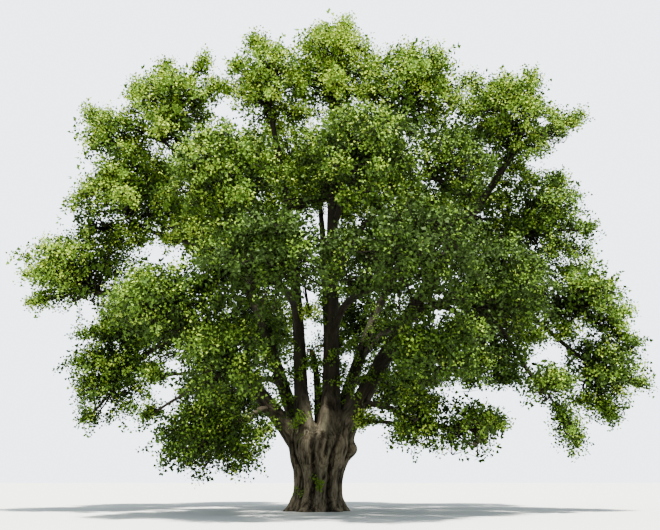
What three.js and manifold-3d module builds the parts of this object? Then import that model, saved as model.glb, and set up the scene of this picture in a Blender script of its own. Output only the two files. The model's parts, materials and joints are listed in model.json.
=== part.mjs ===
// A broad old American linden, standing alone, in full early-summer leaf.
// Units are millimetres, +Z is up, and the origin is the middle of the trunk's flat cut at ground level.
// A bearing is read in plan, in degrees from +X towards +Y. The open side of the crown faces -Y.
import * as THREE from 'three';
import { mergeVertices } from 'three/addons/utils/BufferGeometryUtils.js';
import Module from 'manifold-3d';

const METRE = 1000;
const CLEARANCE = 0.3;

// The trunk's outline: height and mean radius, in metres, from the ground cut to the fork.
const TRUNK_PROFILE = [
  [0.0, 1.56], [0.3, 1.44], [0.9, 1.31], [1.5, 1.3], [2.1, 1.4], [2.8, 1.64],
  [3.4, 1.8], [3.9, 1.86], [4.35, 1.7], [4.75, 1.3], [4.95, 0.8], [5.05, 0.35],
];
const TRUNK_SIDES = 26;
const TRUNK_RINGS = 13;
const TRUNK_LEAN = 0.06;
const ROOT_FLARE = { buttresses: 7, swell: 0.13, height: 0.75 };
const FLUTES = { count: 5, depth: 0.045, phase: 20 };
const BURL = { bearing: 352, height: 3.25, bulge: 0.42, width: 0.38 };

// Limbs: how they taper, and how far they keep their first and last direction.
const LIMB_SIDES = { main: 8, side: 6 };
const LIMB_STEP = 2.9 * METRE;
const TIP_SHARE = 0.3;
const LEAST_TIP = 0.105 * METRE;
const BEND = 0.38;
const ENTRY = 0.5;
const MOST_OF_PARENT = 0.8;

// Foliage: a stem in each lobe, three-sided twigs off the stem, and leaf sprays off the twigs.
const STEM = { least: 0.1 * METRE, end: 0.09 * METRE, sides: 4, reach: 0.5, ofTip: 0.92, taper: 0.95 };
const FORK = { along: 0.5 * METRE, sunk: 0.2 * METRE };
const TWIG = {
  foot: 0.066 * METRE, tip: 0.058 * METRE, sides: 3, depth: 0.62, area: 58 * METRE ** 2, least: 2,
};
const TWIG_ZONE = { first: -0.3, last: 0.4, backward: -0.42, forward: 0.97 };
const LOBE_SWELL = { side: 1.12, depth: 1.42, rise: 1.12 };
const SPIRAL = { leaves: 5, first: 0.4, last: 0.96, innerTilt: 84, outerTilt: 62, sway: 16, droop: 0.1 };
const LEAF = {
  share: 0.9, width: 0.95, thickness: 0.03, shoulder: 0.43, curl: 0.1, shrinks: [1, 0.88, 0.76, 0.64, 0.52],
};
const SPACE_GAP = 0.03 * METRE;
const LIMB_GAP = 0.1 * METRE;
const TWIG_GAP = 0.06 * METRE;
const BEAD_STEP = 0.2 * METRE;
const GOLDEN_ANGLE = Math.PI * (3 - Math.sqrt(5));
const CROWN_HEART = new THREE.Vector3(0, 0, 11 * METRE);
const UP_THE_CYLINDER = new THREE.Vector3(0, 1, 0);

const wasm = await Module();
wasm.setup();

const radians = THREE.MathUtils.degToRad;

/** A point from its bearing in degrees, its reach from the trunk's axis and its height, in metres. */
function place(bearing, reach, height) {
  const angle = radians(bearing);
  return new THREE.Vector3(reach * Math.cos(angle), reach * Math.sin(angle), height).multiplyScalar(METRE);
}

/** A direction from its bearing and its steepness above the horizon, in degrees. */
function heading(bearing, steepness) {
  const level = Math.cos(radians(steepness));
  const angle = radians(bearing);
  return new THREE.Vector3(level * Math.cos(angle), level * Math.sin(angle), Math.sin(radians(steepness)));
}

/** One rounded lobe of the crown: its middle, and how far it spreads and rises from there, in metres. */
function lobe(bearing, reach, height, spread, rise) {
  return {
    heart: place(bearing, reach, height),
    radii: new THREE.Vector3(LOBE_SWELL.side * spread, LOBE_SWELL.depth * spread, LOBE_SWELL.rise * rise)
      .multiplyScalar(METRE),
  };
}

// The crown, limb by limb. Each bough carries one mass of foliage, of one to three lobes.
// foot is the bough's radius where it leaves, in metres; share is how far along its parent it leaves;
// steep and arrive are its steepness where it leaves and where it ends, in degrees.
const CROWN = [
  { name: 'left_tip', from: place(184, 1.2, 3.95), foot: 0.5, steep: 50, arrive: 4,
    lobes: [lobe(184, 14.3, 13.6, 3.5, 3.0)] },
  { name: 'top_left', from: place(188, 0.85, 4.1), foot: 0.44, steep: 87, arrive: 62,
    lobes: [lobe(240, 5.6, 23.6, 2.5, 3.4)] },
  { name: 'top', from: place(356, 0.85, 4.1), foot: 0.56, steep: 88, arrive: 86,
    lobes: [lobe(293, 2.5, 26.0, 3.6, 3.4)] },
  { name: 'top_back', parent: 'top', share: 0.1, foot: 0.42, arrive: 70,
    lobes: [lobe(58, 5.8, 23.2, 3.6, 3.4), lobe(122, 6, 23, 3.6, 3.4), lobe(90, 1.8, 20.4, 3, 2.6)] },
  { name: 'upper_right', from: place(354, 1.35, 3.8), foot: 0.55, steep: 62, arrive: 55,
    lobes: [lobe(346, 11.7, 22.5, 3.4, 3.3), lobe(356, 14.9, 22.8, 1.8, 1.5)] },
  { name: 'back_left_high', from: place(136, 1.2, 3.95), foot: 0.45, steep: 62, arrive: 45,
    lobes: [lobe(120, 10.8, 18.6, 3.8, 3.4), lobe(155, 11.4, 20.6, 3.6, 3.0)] },
  { name: 'back_right_high', from: place(42, 1.2, 3.95), foot: 0.45, steep: 62, arrive: 45,
    lobes: [lobe(70, 11.0, 18.4, 3.8, 3.4), lobe(28, 12.0, 19.6, 3.8, 3.3)] },

  { name: 'low_left', parent: 'left_tip', share: 0.14, foot: 0.2, arrive: -22,
    lobes: [lobe(217, 6.8, 3.7, 3.4, 2.5)] },
  { name: 'front_left_low', parent: 'left_tip', share: 0.3, foot: 0.2, arrive: -8,
    lobes: [lobe(246, 9.9, 7.0, 2.9, 2.5)] },
  { name: 'front_left', parent: 'left_tip', share: 0.42, foot: 0.2, arrive: 0,
    lobes: [lobe(232, 11.6, 9.7, 3.1, 2.4), lobe(246, 10.6, 11.4, 2.3, 1.8)] },
  { name: 'left_hanging', parent: 'left_tip', share: 0.55, foot: 0.2, arrive: -42,
    lobes: [lobe(180, 12.0, 7.9, 2.9, 3.8)] },

  { name: 'front_centre', parent: 'top_left', share: 0.3, foot: 0.2, arrive: 6,
    lobes: [lobe(262, 12.6, 11.0, 3.2, 2.7)] },
  { name: 'left_shoulder', parent: 'top_left', share: 0.4, foot: 0.26, arrive: 20,
    lobes: [lobe(190, 11.5, 18.3, 3.6, 3.5), lobe(184, 13.6, 16.2, 2.3, 2.1)] },
  { name: 'front_left_high', parent: 'top_left', share: 0.5, foot: 0.2, arrive: 14,
    lobes: [lobe(243, 9.9, 16.4, 3.6, 3.0)] },
  { name: 'upper_left', parent: 'top_left', share: 0.6, foot: 0.24, arrive: 38,
    lobes: [lobe(204, 9.2, 22.9, 2.9, 2.7), lobe(195, 12.4, 21.0, 2.4, 2.3)] },

  { name: 'front_right', parent: 'top', share: 0.28, foot: 0.24, arrive: 4,
    lobes: [lobe(290, 13.0, 11.2, 3.7, 2.8)] },
  { name: 'front_high', parent: 'top', share: 0.45, foot: 0.24, arrive: 24,
    lobes: [lobe(285, 9.6, 17.2, 3.8, 3.2), lobe(321, 9.6, 18.1, 2.7, 2.7)] },
  { name: 'top_right', parent: 'top', share: 0.62, foot: 0.24, arrive: 50,
    lobes: [lobe(320, 7.4, 23.2, 3.4, 3.4)] },

  { name: 'low_right', parent: 'upper_right', share: 0.1, foot: 0.19, arrive: -14,
    lobes: [lobe(320, 6.7, 4.5, 2.1, 2.0), lobe(327, 9.3, 4.2, 2.1, 2.0)] },
  { name: 'front_right_low', parent: 'upper_right', share: 0.22, foot: 0.19, arrive: -8,
    lobes: [lobe(303, 10.8, 7.4, 3.2, 2.2)] },
  { name: 'right_tip', parent: 'upper_right', share: 0.4, foot: 0.32, arrive: -6,
    lobes: [lobe(356, 15.4, 11.9, 3.1, 2.8)] },
  { name: 'right_shoulder', parent: 'upper_right', share: 0.58, foot: 0.24, arrive: 14,
    lobes: [lobe(356, 13.4, 16.8, 3.3, 3.3)] },
  { name: 'right_inner', parent: 'right_tip', share: 0.2, foot: 0.19, arrive: -4,
    lobes: [lobe(327, 11.4, 11.4, 3.4, 3.1), lobe(334, 10.9, 7.7, 1.9, 1.8)] },
  { name: 'right_drooping', parent: 'right_tip', share: 0.42, foot: 0.15, arrive: -50,
    lobes: [lobe(346, 13.1, 6.8, 2.1, 1.4), lobe(347, 14.0, 4.4, 1.3, 1.8)] },
  { name: 'right_hanging', parent: 'right_tip', share: 0.66, foot: 0.17, arrive: -38,
    lobes: [lobe(358, 16.6, 7.8, 2.5, 3.2)] },

  { name: 'back_left_low', parent: 'back_left_high', share: 0.22, foot: 0.22, arrive: -16,
    lobes: [lobe(125, 11.4, 7.2, 3.8, 3.0)] },
  { name: 'back_left', parent: 'back_left_high', share: 0.36, foot: 0.27, arrive: 0,
    lobes: [lobe(110, 13.4, 12.8, 3.9, 3.2), lobe(149, 13.8, 11.8, 3.8, 2.9)] },
  { name: 'back_right_low', parent: 'back_right_high', share: 0.22, foot: 0.22, arrive: -14,
    lobes: [lobe(58, 11.8, 8.0, 3.7, 2.8)] },
  { name: 'back_right', parent: 'back_right_high', share: 0.36, foot: 0.27, arrive: 0,
    lobes: [lobe(76, 13.6, 13.0, 3.9, 3.2), lobe(32, 14.4, 12.8, 4.0, 3.2)] },
];

/** A seeded run of even random numbers from 0 to 1. */
function randomRun(seed) {
  let state = seed >>> 0;
  return () => {
    state = (state + 0x6d2b79f5) >>> 0;
    let mixed = Math.imul(state ^ (state >>> 15), state | 1);
    mixed ^= mixed + Math.imul(mixed ^ (mixed >>> 7), mixed | 61);
    return ((mixed ^ (mixed >>> 14)) >>> 0) / 4294967296;
  };
}

/** A closed geometry as a solid that can be joined and cut. */
function solidOf(geometry) {
  const bare = new THREE.BufferGeometry();
  const loose = geometry.index ? geometry.toNonIndexed() : geometry;
  bare.setAttribute('position', loose.getAttribute('position'));
  const merged = mergeVertices(bare, 0.01);
  return new wasm.Manifold(new wasm.Mesh({
    numProp: 3,
    vertProperties: merged.getAttribute('position').array,
    triVerts: new Uint32Array(merged.index.array),
  }));
}

/** A solid's largest body as a geometry: what a cut or a join leaves loose is dropped. */
function geometryOf(solid) {
  const bodies = solid.decompose().sort((a, b) => b.volume() - a.volume());
  const mesh = bodies[0].getMesh();
  const geometry = new THREE.BufferGeometry();
  geometry.setAttribute('position', new THREE.BufferAttribute(new Float32Array(mesh.vertProperties), 3));
  geometry.setIndex(new THREE.BufferAttribute(new Uint32Array(mesh.triVerts), 1));
  geometry.computeVertexNormals();
  return geometry;
}

/** The trunk's radius at a bearing (radians) and height (millimetres): taper, root flare, flutes and burl. */
function trunkRadius(meanRadius, angle, height) {
  const flare = ROOT_FLARE.swell * Math.exp(-height / (ROOT_FLARE.height * METRE));
  const buttress = 0.5 + 0.5 * Math.cos(ROOT_FLARE.buttresses * angle + Math.sin(2 * angle));
  const rising = THREE.MathUtils.smoothstep(height, 0, 2.5 * METRE);
  const flute = FLUTES.depth * rising * Math.cos(FLUTES.count * (angle - radians(FLUTES.phase)));
  const turned = angle - radians(BURL.bearing);
  const around = Math.atan2(Math.sin(turned), Math.cos(turned));
  const off = Math.hypot(around * meanRadius, height - BURL.height * METRE) / (BURL.width * METRE);
  return meanRadius * (1 + flare * buttress * 2 + flute) + BURL.bulge * METRE * Math.exp(-off * off);
}

/** The trunk: a closed cylinder reshaped ring by ring, with its flat cut on the ground. */
function trunkGeometry(grown = 0) {
  const geometry = new THREE.CylinderGeometry(1, 1, 1, TRUNK_SIDES, TRUNK_RINGS);
  geometry.rotateX(Math.PI / 2);
  const stations = TRUNK_PROFILE.map(([height, radius]) => new THREE.Vector2(height, radius));
  const profile = new THREE.SplineCurve(stations);
  const position = geometry.getAttribute('position');
  for (let i = 0; i < position.count; i += 1) {
    const station = profile.getPoint(THREE.MathUtils.clamp(position.getZ(i) + 0.5, 0, 1)).multiplyScalar(METRE);
    const angle = Math.atan2(position.getY(i), position.getX(i));
    const share = Math.hypot(position.getX(i), position.getY(i));
    const radius = share * (trunkRadius(station.y, angle, station.x) + grown);
    const lean = TRUNK_LEAN * station.x;
    const height = station.x > 0 ? station.x + grown : 0;
    position.setXYZ(i, lean + radius * Math.cos(angle), radius * Math.sin(angle), height);
  }
  return geometry;
}

/** A tapering tube along a curve: a closed cylinder bent so that its rings stand square to the curve. */
function taperedTube(curve, footRadius, tipRadius, sides, steps) {
  const geometry = new THREE.CylinderGeometry(1, 1, 1, sides, steps);
  const frames = curve.computeFrenetFrames(steps, false);
  const position = geometry.getAttribute('position');
  for (let i = 0; i < position.count; i += 1) {
    const step = Math.round((position.getY(i) + 0.5) * steps);
    const radius = THREE.MathUtils.lerp(footRadius, tipRadius, step / steps);
    const point = curve.getPointAt(step / steps)
      .addScaledVector(frames.normals[step], radius * position.getZ(i))
      .addScaledVector(frames.binormals[step], radius * position.getX(i));
    position.setXYZ(i, point.x, point.y, point.z);
  }
  return geometry;
}

/** Gives each bough its start, end, centre line and radii, from its parent and its mass. */
function layOutLimb(limb, limbs) {
  const heart = limb.lobes.reduce((sum, part) => sum.add(part.heart), new THREE.Vector3())
    .divideScalar(limb.lobes.length);
  let start = limb.from;
  let foot = limb.foot * METRE;
  let launch;
  if (limb.parent) {
    const parent = limbs.get(limb.parent);
    start = parent.curve.getPointAt(limb.share);
    foot = Math.min(foot, MOST_OF_PARENT * radiusAt(parent, limb.share));
    launch = parent.curve.getTangentAt(limb.share).add(heart.clone().sub(start).normalize()).normalize();
  }
  const inner = limb.lobes[0];
  const back = start.clone().sub(heart).normalize();
  const tip = (limb.lobes.length > 1 ? heart : inner.heart).clone()
    .addScaledVector(back, ENTRY * inner.radii.x);
  const bearing = THREE.MathUtils.radToDeg(Math.atan2(tip.y - start.y, tip.x - start.x));
  launch ??= heading(bearing, limb.steep);
  const span = start.distanceTo(tip) * BEND;
  const curve = new THREE.CubicBezierCurve3(
    start,
    start.clone().addScaledVector(launch, span),
    tip.clone().addScaledVector(heading(bearing, limb.arrive), -span),
    tip,
  );
  const tipRadius = Math.max(LEAST_TIP, foot * TIP_SHARE);
  return { ...limb, heart, start, tip, curve, foot, tipRadius, length: curve.getLength() };
}

/** A limb's radius at a share of its length. */
function radiusAt(limb, share) {
  return THREE.MathUtils.lerp(limb.foot, limb.tipRadius, share);
}

/** The bough's own tube, grown evenly where it is used to cut another. */
function limbSolid(limb, grown = 0) {
  const steps = Math.max(4, Math.round(limb.length / LIMB_STEP));
  const sides = limb.parent ? LIMB_SIDES.side : LIMB_SIDES.main;
  const tube = taperedTube(limb.curve, limb.foot + grown, limb.tipRadius + grown, sides, steps);
  return solidOf(tube);
}

/** Beads along a limb, each with the room it takes there, for keeping foliage clear of it. */
function limbBeads(limb) {
  const count = Math.ceil(limb.length / BEAD_STEP);
  return Array.from({ length: count + 1 }, (_, i) => ({
    point: limb.curve.getPointAt(i / count),
    room: radiusAt(limb, i / count) + LIMB_GAP,
  }));
}

/** Beads along a straight stem or twig. */
function twigBeads(from, to, radius) {
  const count = Math.ceil(from.distanceTo(to) / BEAD_STEP);
  return Array.from({ length: count + 1 }, (_, i) => ({
    point: from.clone().lerp(to, i / count),
    room: radius + TWIG_GAP,
  }));
}

/** Whether a point lies in a lobe's own space: inside its ellipsoid and on its side of every neighbour. */
function insideLobe(point, own, lobes) {
  const scaled = point.clone().sub(own.heart).divide(own.radii);
  if (scaled.lengthSq() > 1) return false;
  return lobes.every((other) => {
    if (other === own) return true;
    const away = other.heart.clone().sub(own.heart);
    const apart = away.length();
    const size = (part) => part.radii.x * part.radii.z;
    const border = (apart * apart + size(own) - size(other)) / (2 * apart);
    return point.clone().sub(own.heart).dot(away) / apart < border - SPACE_GAP;
  });
}

/** A straight stem or twig from one point to another. Its first flat side faces the given way. */
function twigGeometry(from, to, footRadius, tipRadius, sides) {
  const along = to.clone().sub(from);
  const geometry = new THREE.CylinderGeometry(tipRadius, footRadius, along.length(), sides, 1);
  const turn = new THREE.Quaternion().setFromUnitVectors(UP_THE_CYLINDER, along.clone().normalize());
  const middle = from.clone().add(to).multiplyScalar(0.5);
  return geometry.applyMatrix4(new THREE.Matrix4().compose(middle, turn, new THREE.Vector3(1, 1, 1)));
}

/** The way a flat side of that stem or twig faces, counted round from its first side. */
function sideFacing(from, to, side, sides) {
  const turn = new THREE.Quaternion().setFromUnitVectors(UP_THE_CYLINDER, to.clone().sub(from).normalize());
  const angle = ((side + 0.5) * 2 * Math.PI) / sides;
  return new THREE.Vector3(Math.sin(angle), 0, Math.cos(angle)).applyQuaternion(turn);
}

/** One leaf spray of six faces: flat behind but bent at its shoulders, with a low ridge in front. */
function leafGeometry(root, along, face, length) {
  const side = new THREE.Vector3().crossVectors(along, face).normalize();
  const corner = (down, across, out) => root.clone()
    .addScaledVector(along, down * length)
    .addScaledVector(side, across * length)
    .addScaledVector(face, out * length);
  const corners = {
    root: corner(0, 0, 0),
    tip: corner(1, 0, -LEAF.curl),
    right: corner(LEAF.shoulder, LEAF.width / 2, 0),
    left: corner(LEAF.shoulder, -LEAF.width / 2, 0),
    ridge: corner(LEAF.shoulder, 0, LEAF.thickness),
  };
  const geometry = new THREE.BufferGeometry().setFromPoints(Object.values(corners));
  geometry.setIndex([0, 2, 4, 2, 1, 4, 1, 3, 4, 3, 0, 4, 0, 3, 2, 1, 2, 3]);
  return { geometry, corners };
}

/** Whether a leaf's two halves are clear of every bead. */
function leafClear({ root, tip, right, left }, beads) {
  const halves = [new THREE.Triangle(root, right, left), new THREE.Triangle(tip, left, right)];
  const nearest = new THREE.Vector3();
  return beads.every(({ point, room }) => halves.every((half) => {
    half.closestPointToPoint(point, nearest);
    return nearest.distanceToSquared(point) > room * room;
  }));
}

/** Whether a straight twig is clear of every bead. */
function twigClear(foot, tip, beads) {
  const line = new THREE.Line3(foot, tip);
  const nearest = new THREE.Vector3();
  return beads.every(({ point, room }) => {
    line.closestPointToPoint(point, true, nearest);
    return nearest.distanceTo(point) > room + TWIG.foot;
  });
}

/** Whether a point is nearer to its own twig's tip than to the lobe's other twig tips. */
function besideTwig(point, tip, tips) {
  return tips.every((other) => {
    if (other === tip) return true;
    const away = other.clone().sub(tip);
    const apart = away.length();
    return point.clone().sub(tip).dot(away) / apart < apart / 2 - SPACE_GAP;
  });
}

/** The twigs of a lobe: feet strung along its stem, tips in a ring round it and pointing outward. */
function layOutTwigs(own, count, random) {
  const pole = own.heart.clone().sub(CROWN_HEART).normalize();
  const turn = new THREE.Quaternion().setFromUnitVectors(UP_THE_CYLINDER, pole);
  const first = random() * 2 * Math.PI;
  return Array.from({ length: count }, (_, i) => {
    const share = count > 1 ? i / (count - 1) : 0.5;
    const along = THREE.MathUtils.lerp(TWIG_ZONE.first, TWIG_ZONE.last, share);
    const tilt = Math.acos(THREE.MathUtils.lerp(TWIG_ZONE.backward, TWIG_ZONE.forward, share));
    const angle = first + i * GOLDEN_ANGLE;
    const tip = new THREE.Vector3()
      .setFromSphericalCoords(1, tilt, angle)
      .applyQuaternion(turn)
      .multiply(own.radii)
      .multiplyScalar(TWIG.depth)
      .add(own.heart);
    return { along, tip };
  });
}

/** The leaf sprays of one twig, each as long as its space allows; one with no room there is skipped. */
function twigLeaves(foot, tip, fits, random, nominal) {
  const outward = tip.clone().sub(foot).normalize();
  const firstSide = Math.floor(random() * TWIG.sides);
  const leaves = [];
  for (let i = 0; i < SPIRAL.leaves; i += 1) {
    const share = i / (SPIRAL.leaves - 1);
    const root = foot.clone().lerp(tip, THREE.MathUtils.lerp(SPIRAL.first, SPIRAL.last, share));
    const tilt = radians(THREE.MathUtils.lerp(SPIRAL.innerTilt, SPIRAL.outerTilt, share));
    const sway = radians(SPIRAL.sway * (random() - 0.5));
    const along = sideFacing(foot, tip, firstSide + i, TWIG.sides)
      .applyAxisAngle(outward, sway)
      .multiplyScalar(Math.sin(tilt))
      .addScaledVector(outward, Math.cos(tilt));
    along.z -= SPIRAL.droop;
    along.normalize();
    const face = outward.clone().addScaledVector(along, -outward.dot(along)).normalize();
    for (const shrink of LEAF.shrinks) {
      const { geometry, corners } = leafGeometry(root, along, face, nominal * shrink);
      if (fits(corners)) {
        leaves.push(solidOf(geometry));
        break;
      }
    }
  }
  return leaves;
}

/** One mass of foliage: a stem from the bough's tip that forks to its lobes, their twigs and their leaves. */
function foliageSolid(limb, lobes, beads, seed) {
  const random = randomRun(seed);
  const onward = limb.curve.getTangentAt(1);
  const stemFoot = limb.tip.clone().addScaledVector(onward, CLEARANCE);
  const stemRadius = Math.max(STEM.least, STEM.ofTip * limb.tipRadius);
  const fork = stemFoot.clone().addScaledVector(onward, FORK.along);
  const sunkFork = fork.clone().addScaledVector(onward, -FORK.sunk);
  const pieces = [solidOf(twigGeometry(stemFoot, fork, stemRadius, stemRadius, STEM.sides))];
  for (const own of limb.lobes) {
    const spread = Math.sqrt(own.radii.x * own.radii.z);
    const stemWay = own.heart.clone().sub(sunkFork).normalize();
    const stemEnd = own.heart.clone().addScaledVector(stemWay, STEM.reach * own.radii.z);
    pieces.push(solidOf(twigGeometry(sunkFork, stemEnd, STEM.taper * stemRadius, STEM.end, STEM.sides)));
    const area = 4 * Math.PI * own.radii.x * own.radii.z;
    const count = Math.max(TWIG.least, Math.round(area / TWIG.area));
    const twigs = layOutTwigs(own, count, random)
      .map(({ along, tip }) => ({ foot: own.heart.clone().addScaledVector(stemWay, along * spread), tip }))
      .filter(({ foot, tip }) => twigClear(foot, tip, beads) && insideLobe(tip, own, lobes));
    const tips = twigs.map(({ tip }) => tip);
    const stemBeads = twigBeads(sunkFork, stemEnd, stemRadius);
    for (const { foot, tip } of twigs) {
      const others = twigs.filter((twig) => twig.tip !== tip);
      const wood = [...stemBeads, ...others.flatMap((twig) => twigBeads(twig.foot, twig.tip, TWIG.foot))];
      const fits = (corners) => Object.values(corners)
        .every((corner) => insideLobe(corner, own, lobes) && besideTwig(corner, tip, tips))
        && leafClear(corners, beads)
        && leafClear(corners, wood);
      const leaves = twigLeaves(foot, tip, fits, random, LEAF.share * spread);
      if (!leaves.length) continue;
      pieces.push(solidOf(twigGeometry(foot, tip, TWIG.foot, TWIG.tip, TWIG.sides)), ...leaves);
    }
  }
  return pieces.reduce((joined, piece) => joined.add(piece));
}

/** A named mesh of one solid. */
function meshOf(name, solid, material) {
  const mesh = new THREE.Mesh(geometryOf(solid), material);
  mesh.name = name;
  return mesh;
}

const bark = new THREE.MeshStandardMaterial({ color: 0x5d5347, roughness: 0.95, metalness: 0 });
const leaf = new THREE.MeshStandardMaterial({ color: 0x4f7a24, roughness: 0.6, metalness: 0 });

const linden = new THREE.Group();
linden.name = 'american_linden';

const limbs = new Map();
for (const limb of CROWN) limbs.set(limb.name, layOutLimb(limb, limbs));

// Each bough is cut back, with a hair's clearance, from the trunk and from the boughs before it.
linden.add(meshOf('trunk', solidOf(trunkGeometry()), bark));
const cutters = [solidOf(trunkGeometry(CLEARANCE))];
for (const limb of limbs.values()) {
  const whole = limbSolid(limb);
  const cut = cutters.reduce((left, cutter) => left.subtract(cutter), whole);
  linden.add(meshOf(`bough_${limb.name}`, cut, bark));
  cutters.push(limbSolid(limb, CLEARANCE));
}

const allLobes = [...limbs.values()].flatMap((limb) => limb.lobes);
const allBeads = [...limbs.values()].flatMap(limbBeads);
let seed = 1;
for (const limb of limbs.values()) {
  const beads = allBeads.filter(({ point, room }) => limb.lobes
    .some((part) => point.distanceTo(part.heart) < part.radii.length() + room));
  linden.add(meshOf(`foliage_${limb.name}`, foliageSolid(limb, allLobes, beads, seed), leaf));
  seed += 1;
}

export default linden;
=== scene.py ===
"""A broad old American linden in full early-summer leaf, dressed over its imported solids.

Lengths are metres, +Z is up and the trunk's flat cut lies on z = 0. A bearing is read in plan, in
degrees from +X towards +Y, and the open side of the crown faces -Y.
"""
import json
import logging
import math
from dataclasses import dataclass, field
from enum import IntEnum
from typing import Sequence

import bmesh
import bpy
import numpy as np
from mathutils import Euler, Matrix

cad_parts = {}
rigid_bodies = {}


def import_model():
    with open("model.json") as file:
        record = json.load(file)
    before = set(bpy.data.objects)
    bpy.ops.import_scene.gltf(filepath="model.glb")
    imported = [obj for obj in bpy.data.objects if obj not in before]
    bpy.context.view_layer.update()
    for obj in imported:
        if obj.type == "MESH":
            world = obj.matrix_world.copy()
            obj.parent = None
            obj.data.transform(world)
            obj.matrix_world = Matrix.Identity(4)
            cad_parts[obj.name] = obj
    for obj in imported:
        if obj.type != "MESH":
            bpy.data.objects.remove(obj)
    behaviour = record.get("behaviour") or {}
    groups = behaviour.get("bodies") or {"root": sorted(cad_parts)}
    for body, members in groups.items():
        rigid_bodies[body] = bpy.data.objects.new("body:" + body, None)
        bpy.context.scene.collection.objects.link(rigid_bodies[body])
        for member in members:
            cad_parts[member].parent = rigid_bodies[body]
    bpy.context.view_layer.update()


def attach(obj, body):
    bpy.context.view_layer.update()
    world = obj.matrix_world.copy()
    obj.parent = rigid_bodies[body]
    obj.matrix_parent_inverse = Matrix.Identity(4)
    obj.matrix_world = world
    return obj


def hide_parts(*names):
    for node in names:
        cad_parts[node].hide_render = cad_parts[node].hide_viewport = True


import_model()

Array = np.ndarray
Colour = tuple[float, float, float]
LOG = logging.getLogger("linden")
GOLDEN_ANGLE = math.pi * (3.0 - math.sqrt(5.0))
UP = np.array((0.0, 0.0, 1.0))
CROWN_HEART = np.array((0.0, 0.0, 11.0))
# The way to the sun from which the crown casts painted shadow on the leaves' greens.
SUNWARD = np.array((0.14, -0.25, 0.96))
# Where the camera stands, and how far it looks up, in degrees.
EYE = np.array((0.79, -45.0, 1.6))
EYE_PITCH = 15.9
SIGHT_PITCH = math.radians(EYE_PITCH)
# The photo's middle and its focal length, in pixels.
SIGHT_MIDDLE = (330.0, 265.0)
SIGHT_FOCUS = 760.0
# How far towards the sun the crown is felt for painted shadow on the leaves, in metres.
SUN_RUNS = (2.0, 3.5, 5.0, 7.0, 9.5, 12.0)
# The painted light below which a spray gets the next deeper green, with the sign turned: the darker greens
# are painted shade.
TONE_STEPS = (-0.82, -0.46, -0.04, 0.34)
CURVE_STEPS = 201
TANGENT_STEP = 5e-3
GRAIN_BLOCK = 4000
GRAIN_SHIFT = 7.0
GRAIN_STRETCH = 0.2


def unit(vectors: Array) -> Array:
    """Vectors scaled to length one along their last axis."""
    return vectors / np.maximum(np.linalg.norm(vectors, axis=-1, keepdims=True), 1e-9)


def place(bearing: float, reach: float, height: float) -> Array:
    """A point from its bearing in degrees, its reach from the trunk's axis and its height."""
    angle = math.radians(bearing)
    return np.array((reach * math.cos(angle), reach * math.sin(angle), height))


def heading(bearing: float, steepness: float) -> Array:
    """A direction from its bearing and its steepness above the horizon, in degrees."""
    climb = math.radians(steepness)
    return place(bearing, math.cos(climb), math.sin(climb))


def bow(share: Array, foot: Array, knee: Array, tip: Array) -> Array:
    """Points along a curve that leaves a foot, bends towards a knee and ends at a tip."""
    return (1 - share) ** 2 * foot + 2 * share * (1 - share) * knee + share ** 2 * tip


def wrapped(turns: Array) -> Array:
    """Angles in radians, brought to within half a turn of nothing."""
    return np.arctan2(np.sin(turns), np.cos(turns))


def value_noise(points: Array, seed: int) -> Array:
    """Smooth seeded noise from 0 to 1.

    Args:
        points: Places in the noise, one row each; one unit is one cell.
        seed: Picks the pattern.

    Returns:
        One number for each place.
    """
    cell = np.floor(points).astype(np.int64)
    part = points - cell
    part = part * part * (3.0 - 2.0 * part)
    total = np.zeros(len(points))
    for corner in range(8):
        step = np.array((corner & 1, (corner >> 1) & 1, (corner >> 2) & 1))
        mixed = (cell + step) @ np.array((73856093, 19349663, 83492791)) + seed * 2654435761
        mixed = (mixed ^ (mixed >> 13)) * 1274126177 & 0xFFFFFFFF
        mixed = (mixed ^ (mixed >> 16)) & 0xFFFF
        weight = np.prod(np.where(step == 1, part, 1.0 - part), axis=1)
        total += weight * mixed / 65535.0
    return total


@dataclass(frozen=True)
class Lobe:
    """One rounded lobe of the crown, in the source's own figures."""

    bearing: float
    reach: float
    height: float
    spread: float
    rise: float
    side_swell: float = 1.12
    depth_swell: float = 1.42
    leaf_depth: float = 1.34

    @property
    def heart(self) -> Array:
        """The lobe's middle."""
        return place(self.bearing, self.reach, self.height)

    @property
    def radii(self) -> Array:
        """Half its width, depth and height, as the solids fill it."""
        swell = np.array((self.side_swell, self.depth_swell, self.side_swell))
        return swell * np.array((self.spread, self.spread, self.rise))

    @property
    def form(self) -> Array:
        """Half its width, depth and height, as the leaves fill it."""
        return np.array((self.spread, self.leaf_depth * self.spread, self.rise))

    @property
    def size(self) -> float:
        """What sets the border between this lobe and a neighbour."""
        return float(self.radii[0] * self.radii[2])


@dataclass
class LimbPlan:
    """How one bough leaves its parent, and the lobes of foliage that it carries."""

    name: str
    foot: float
    arrive: float
    lobes: Sequence[Lobe]
    start: Array | None = None
    steep: float = 0.0
    parent: str = ""
    share: float = 0.0


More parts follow.
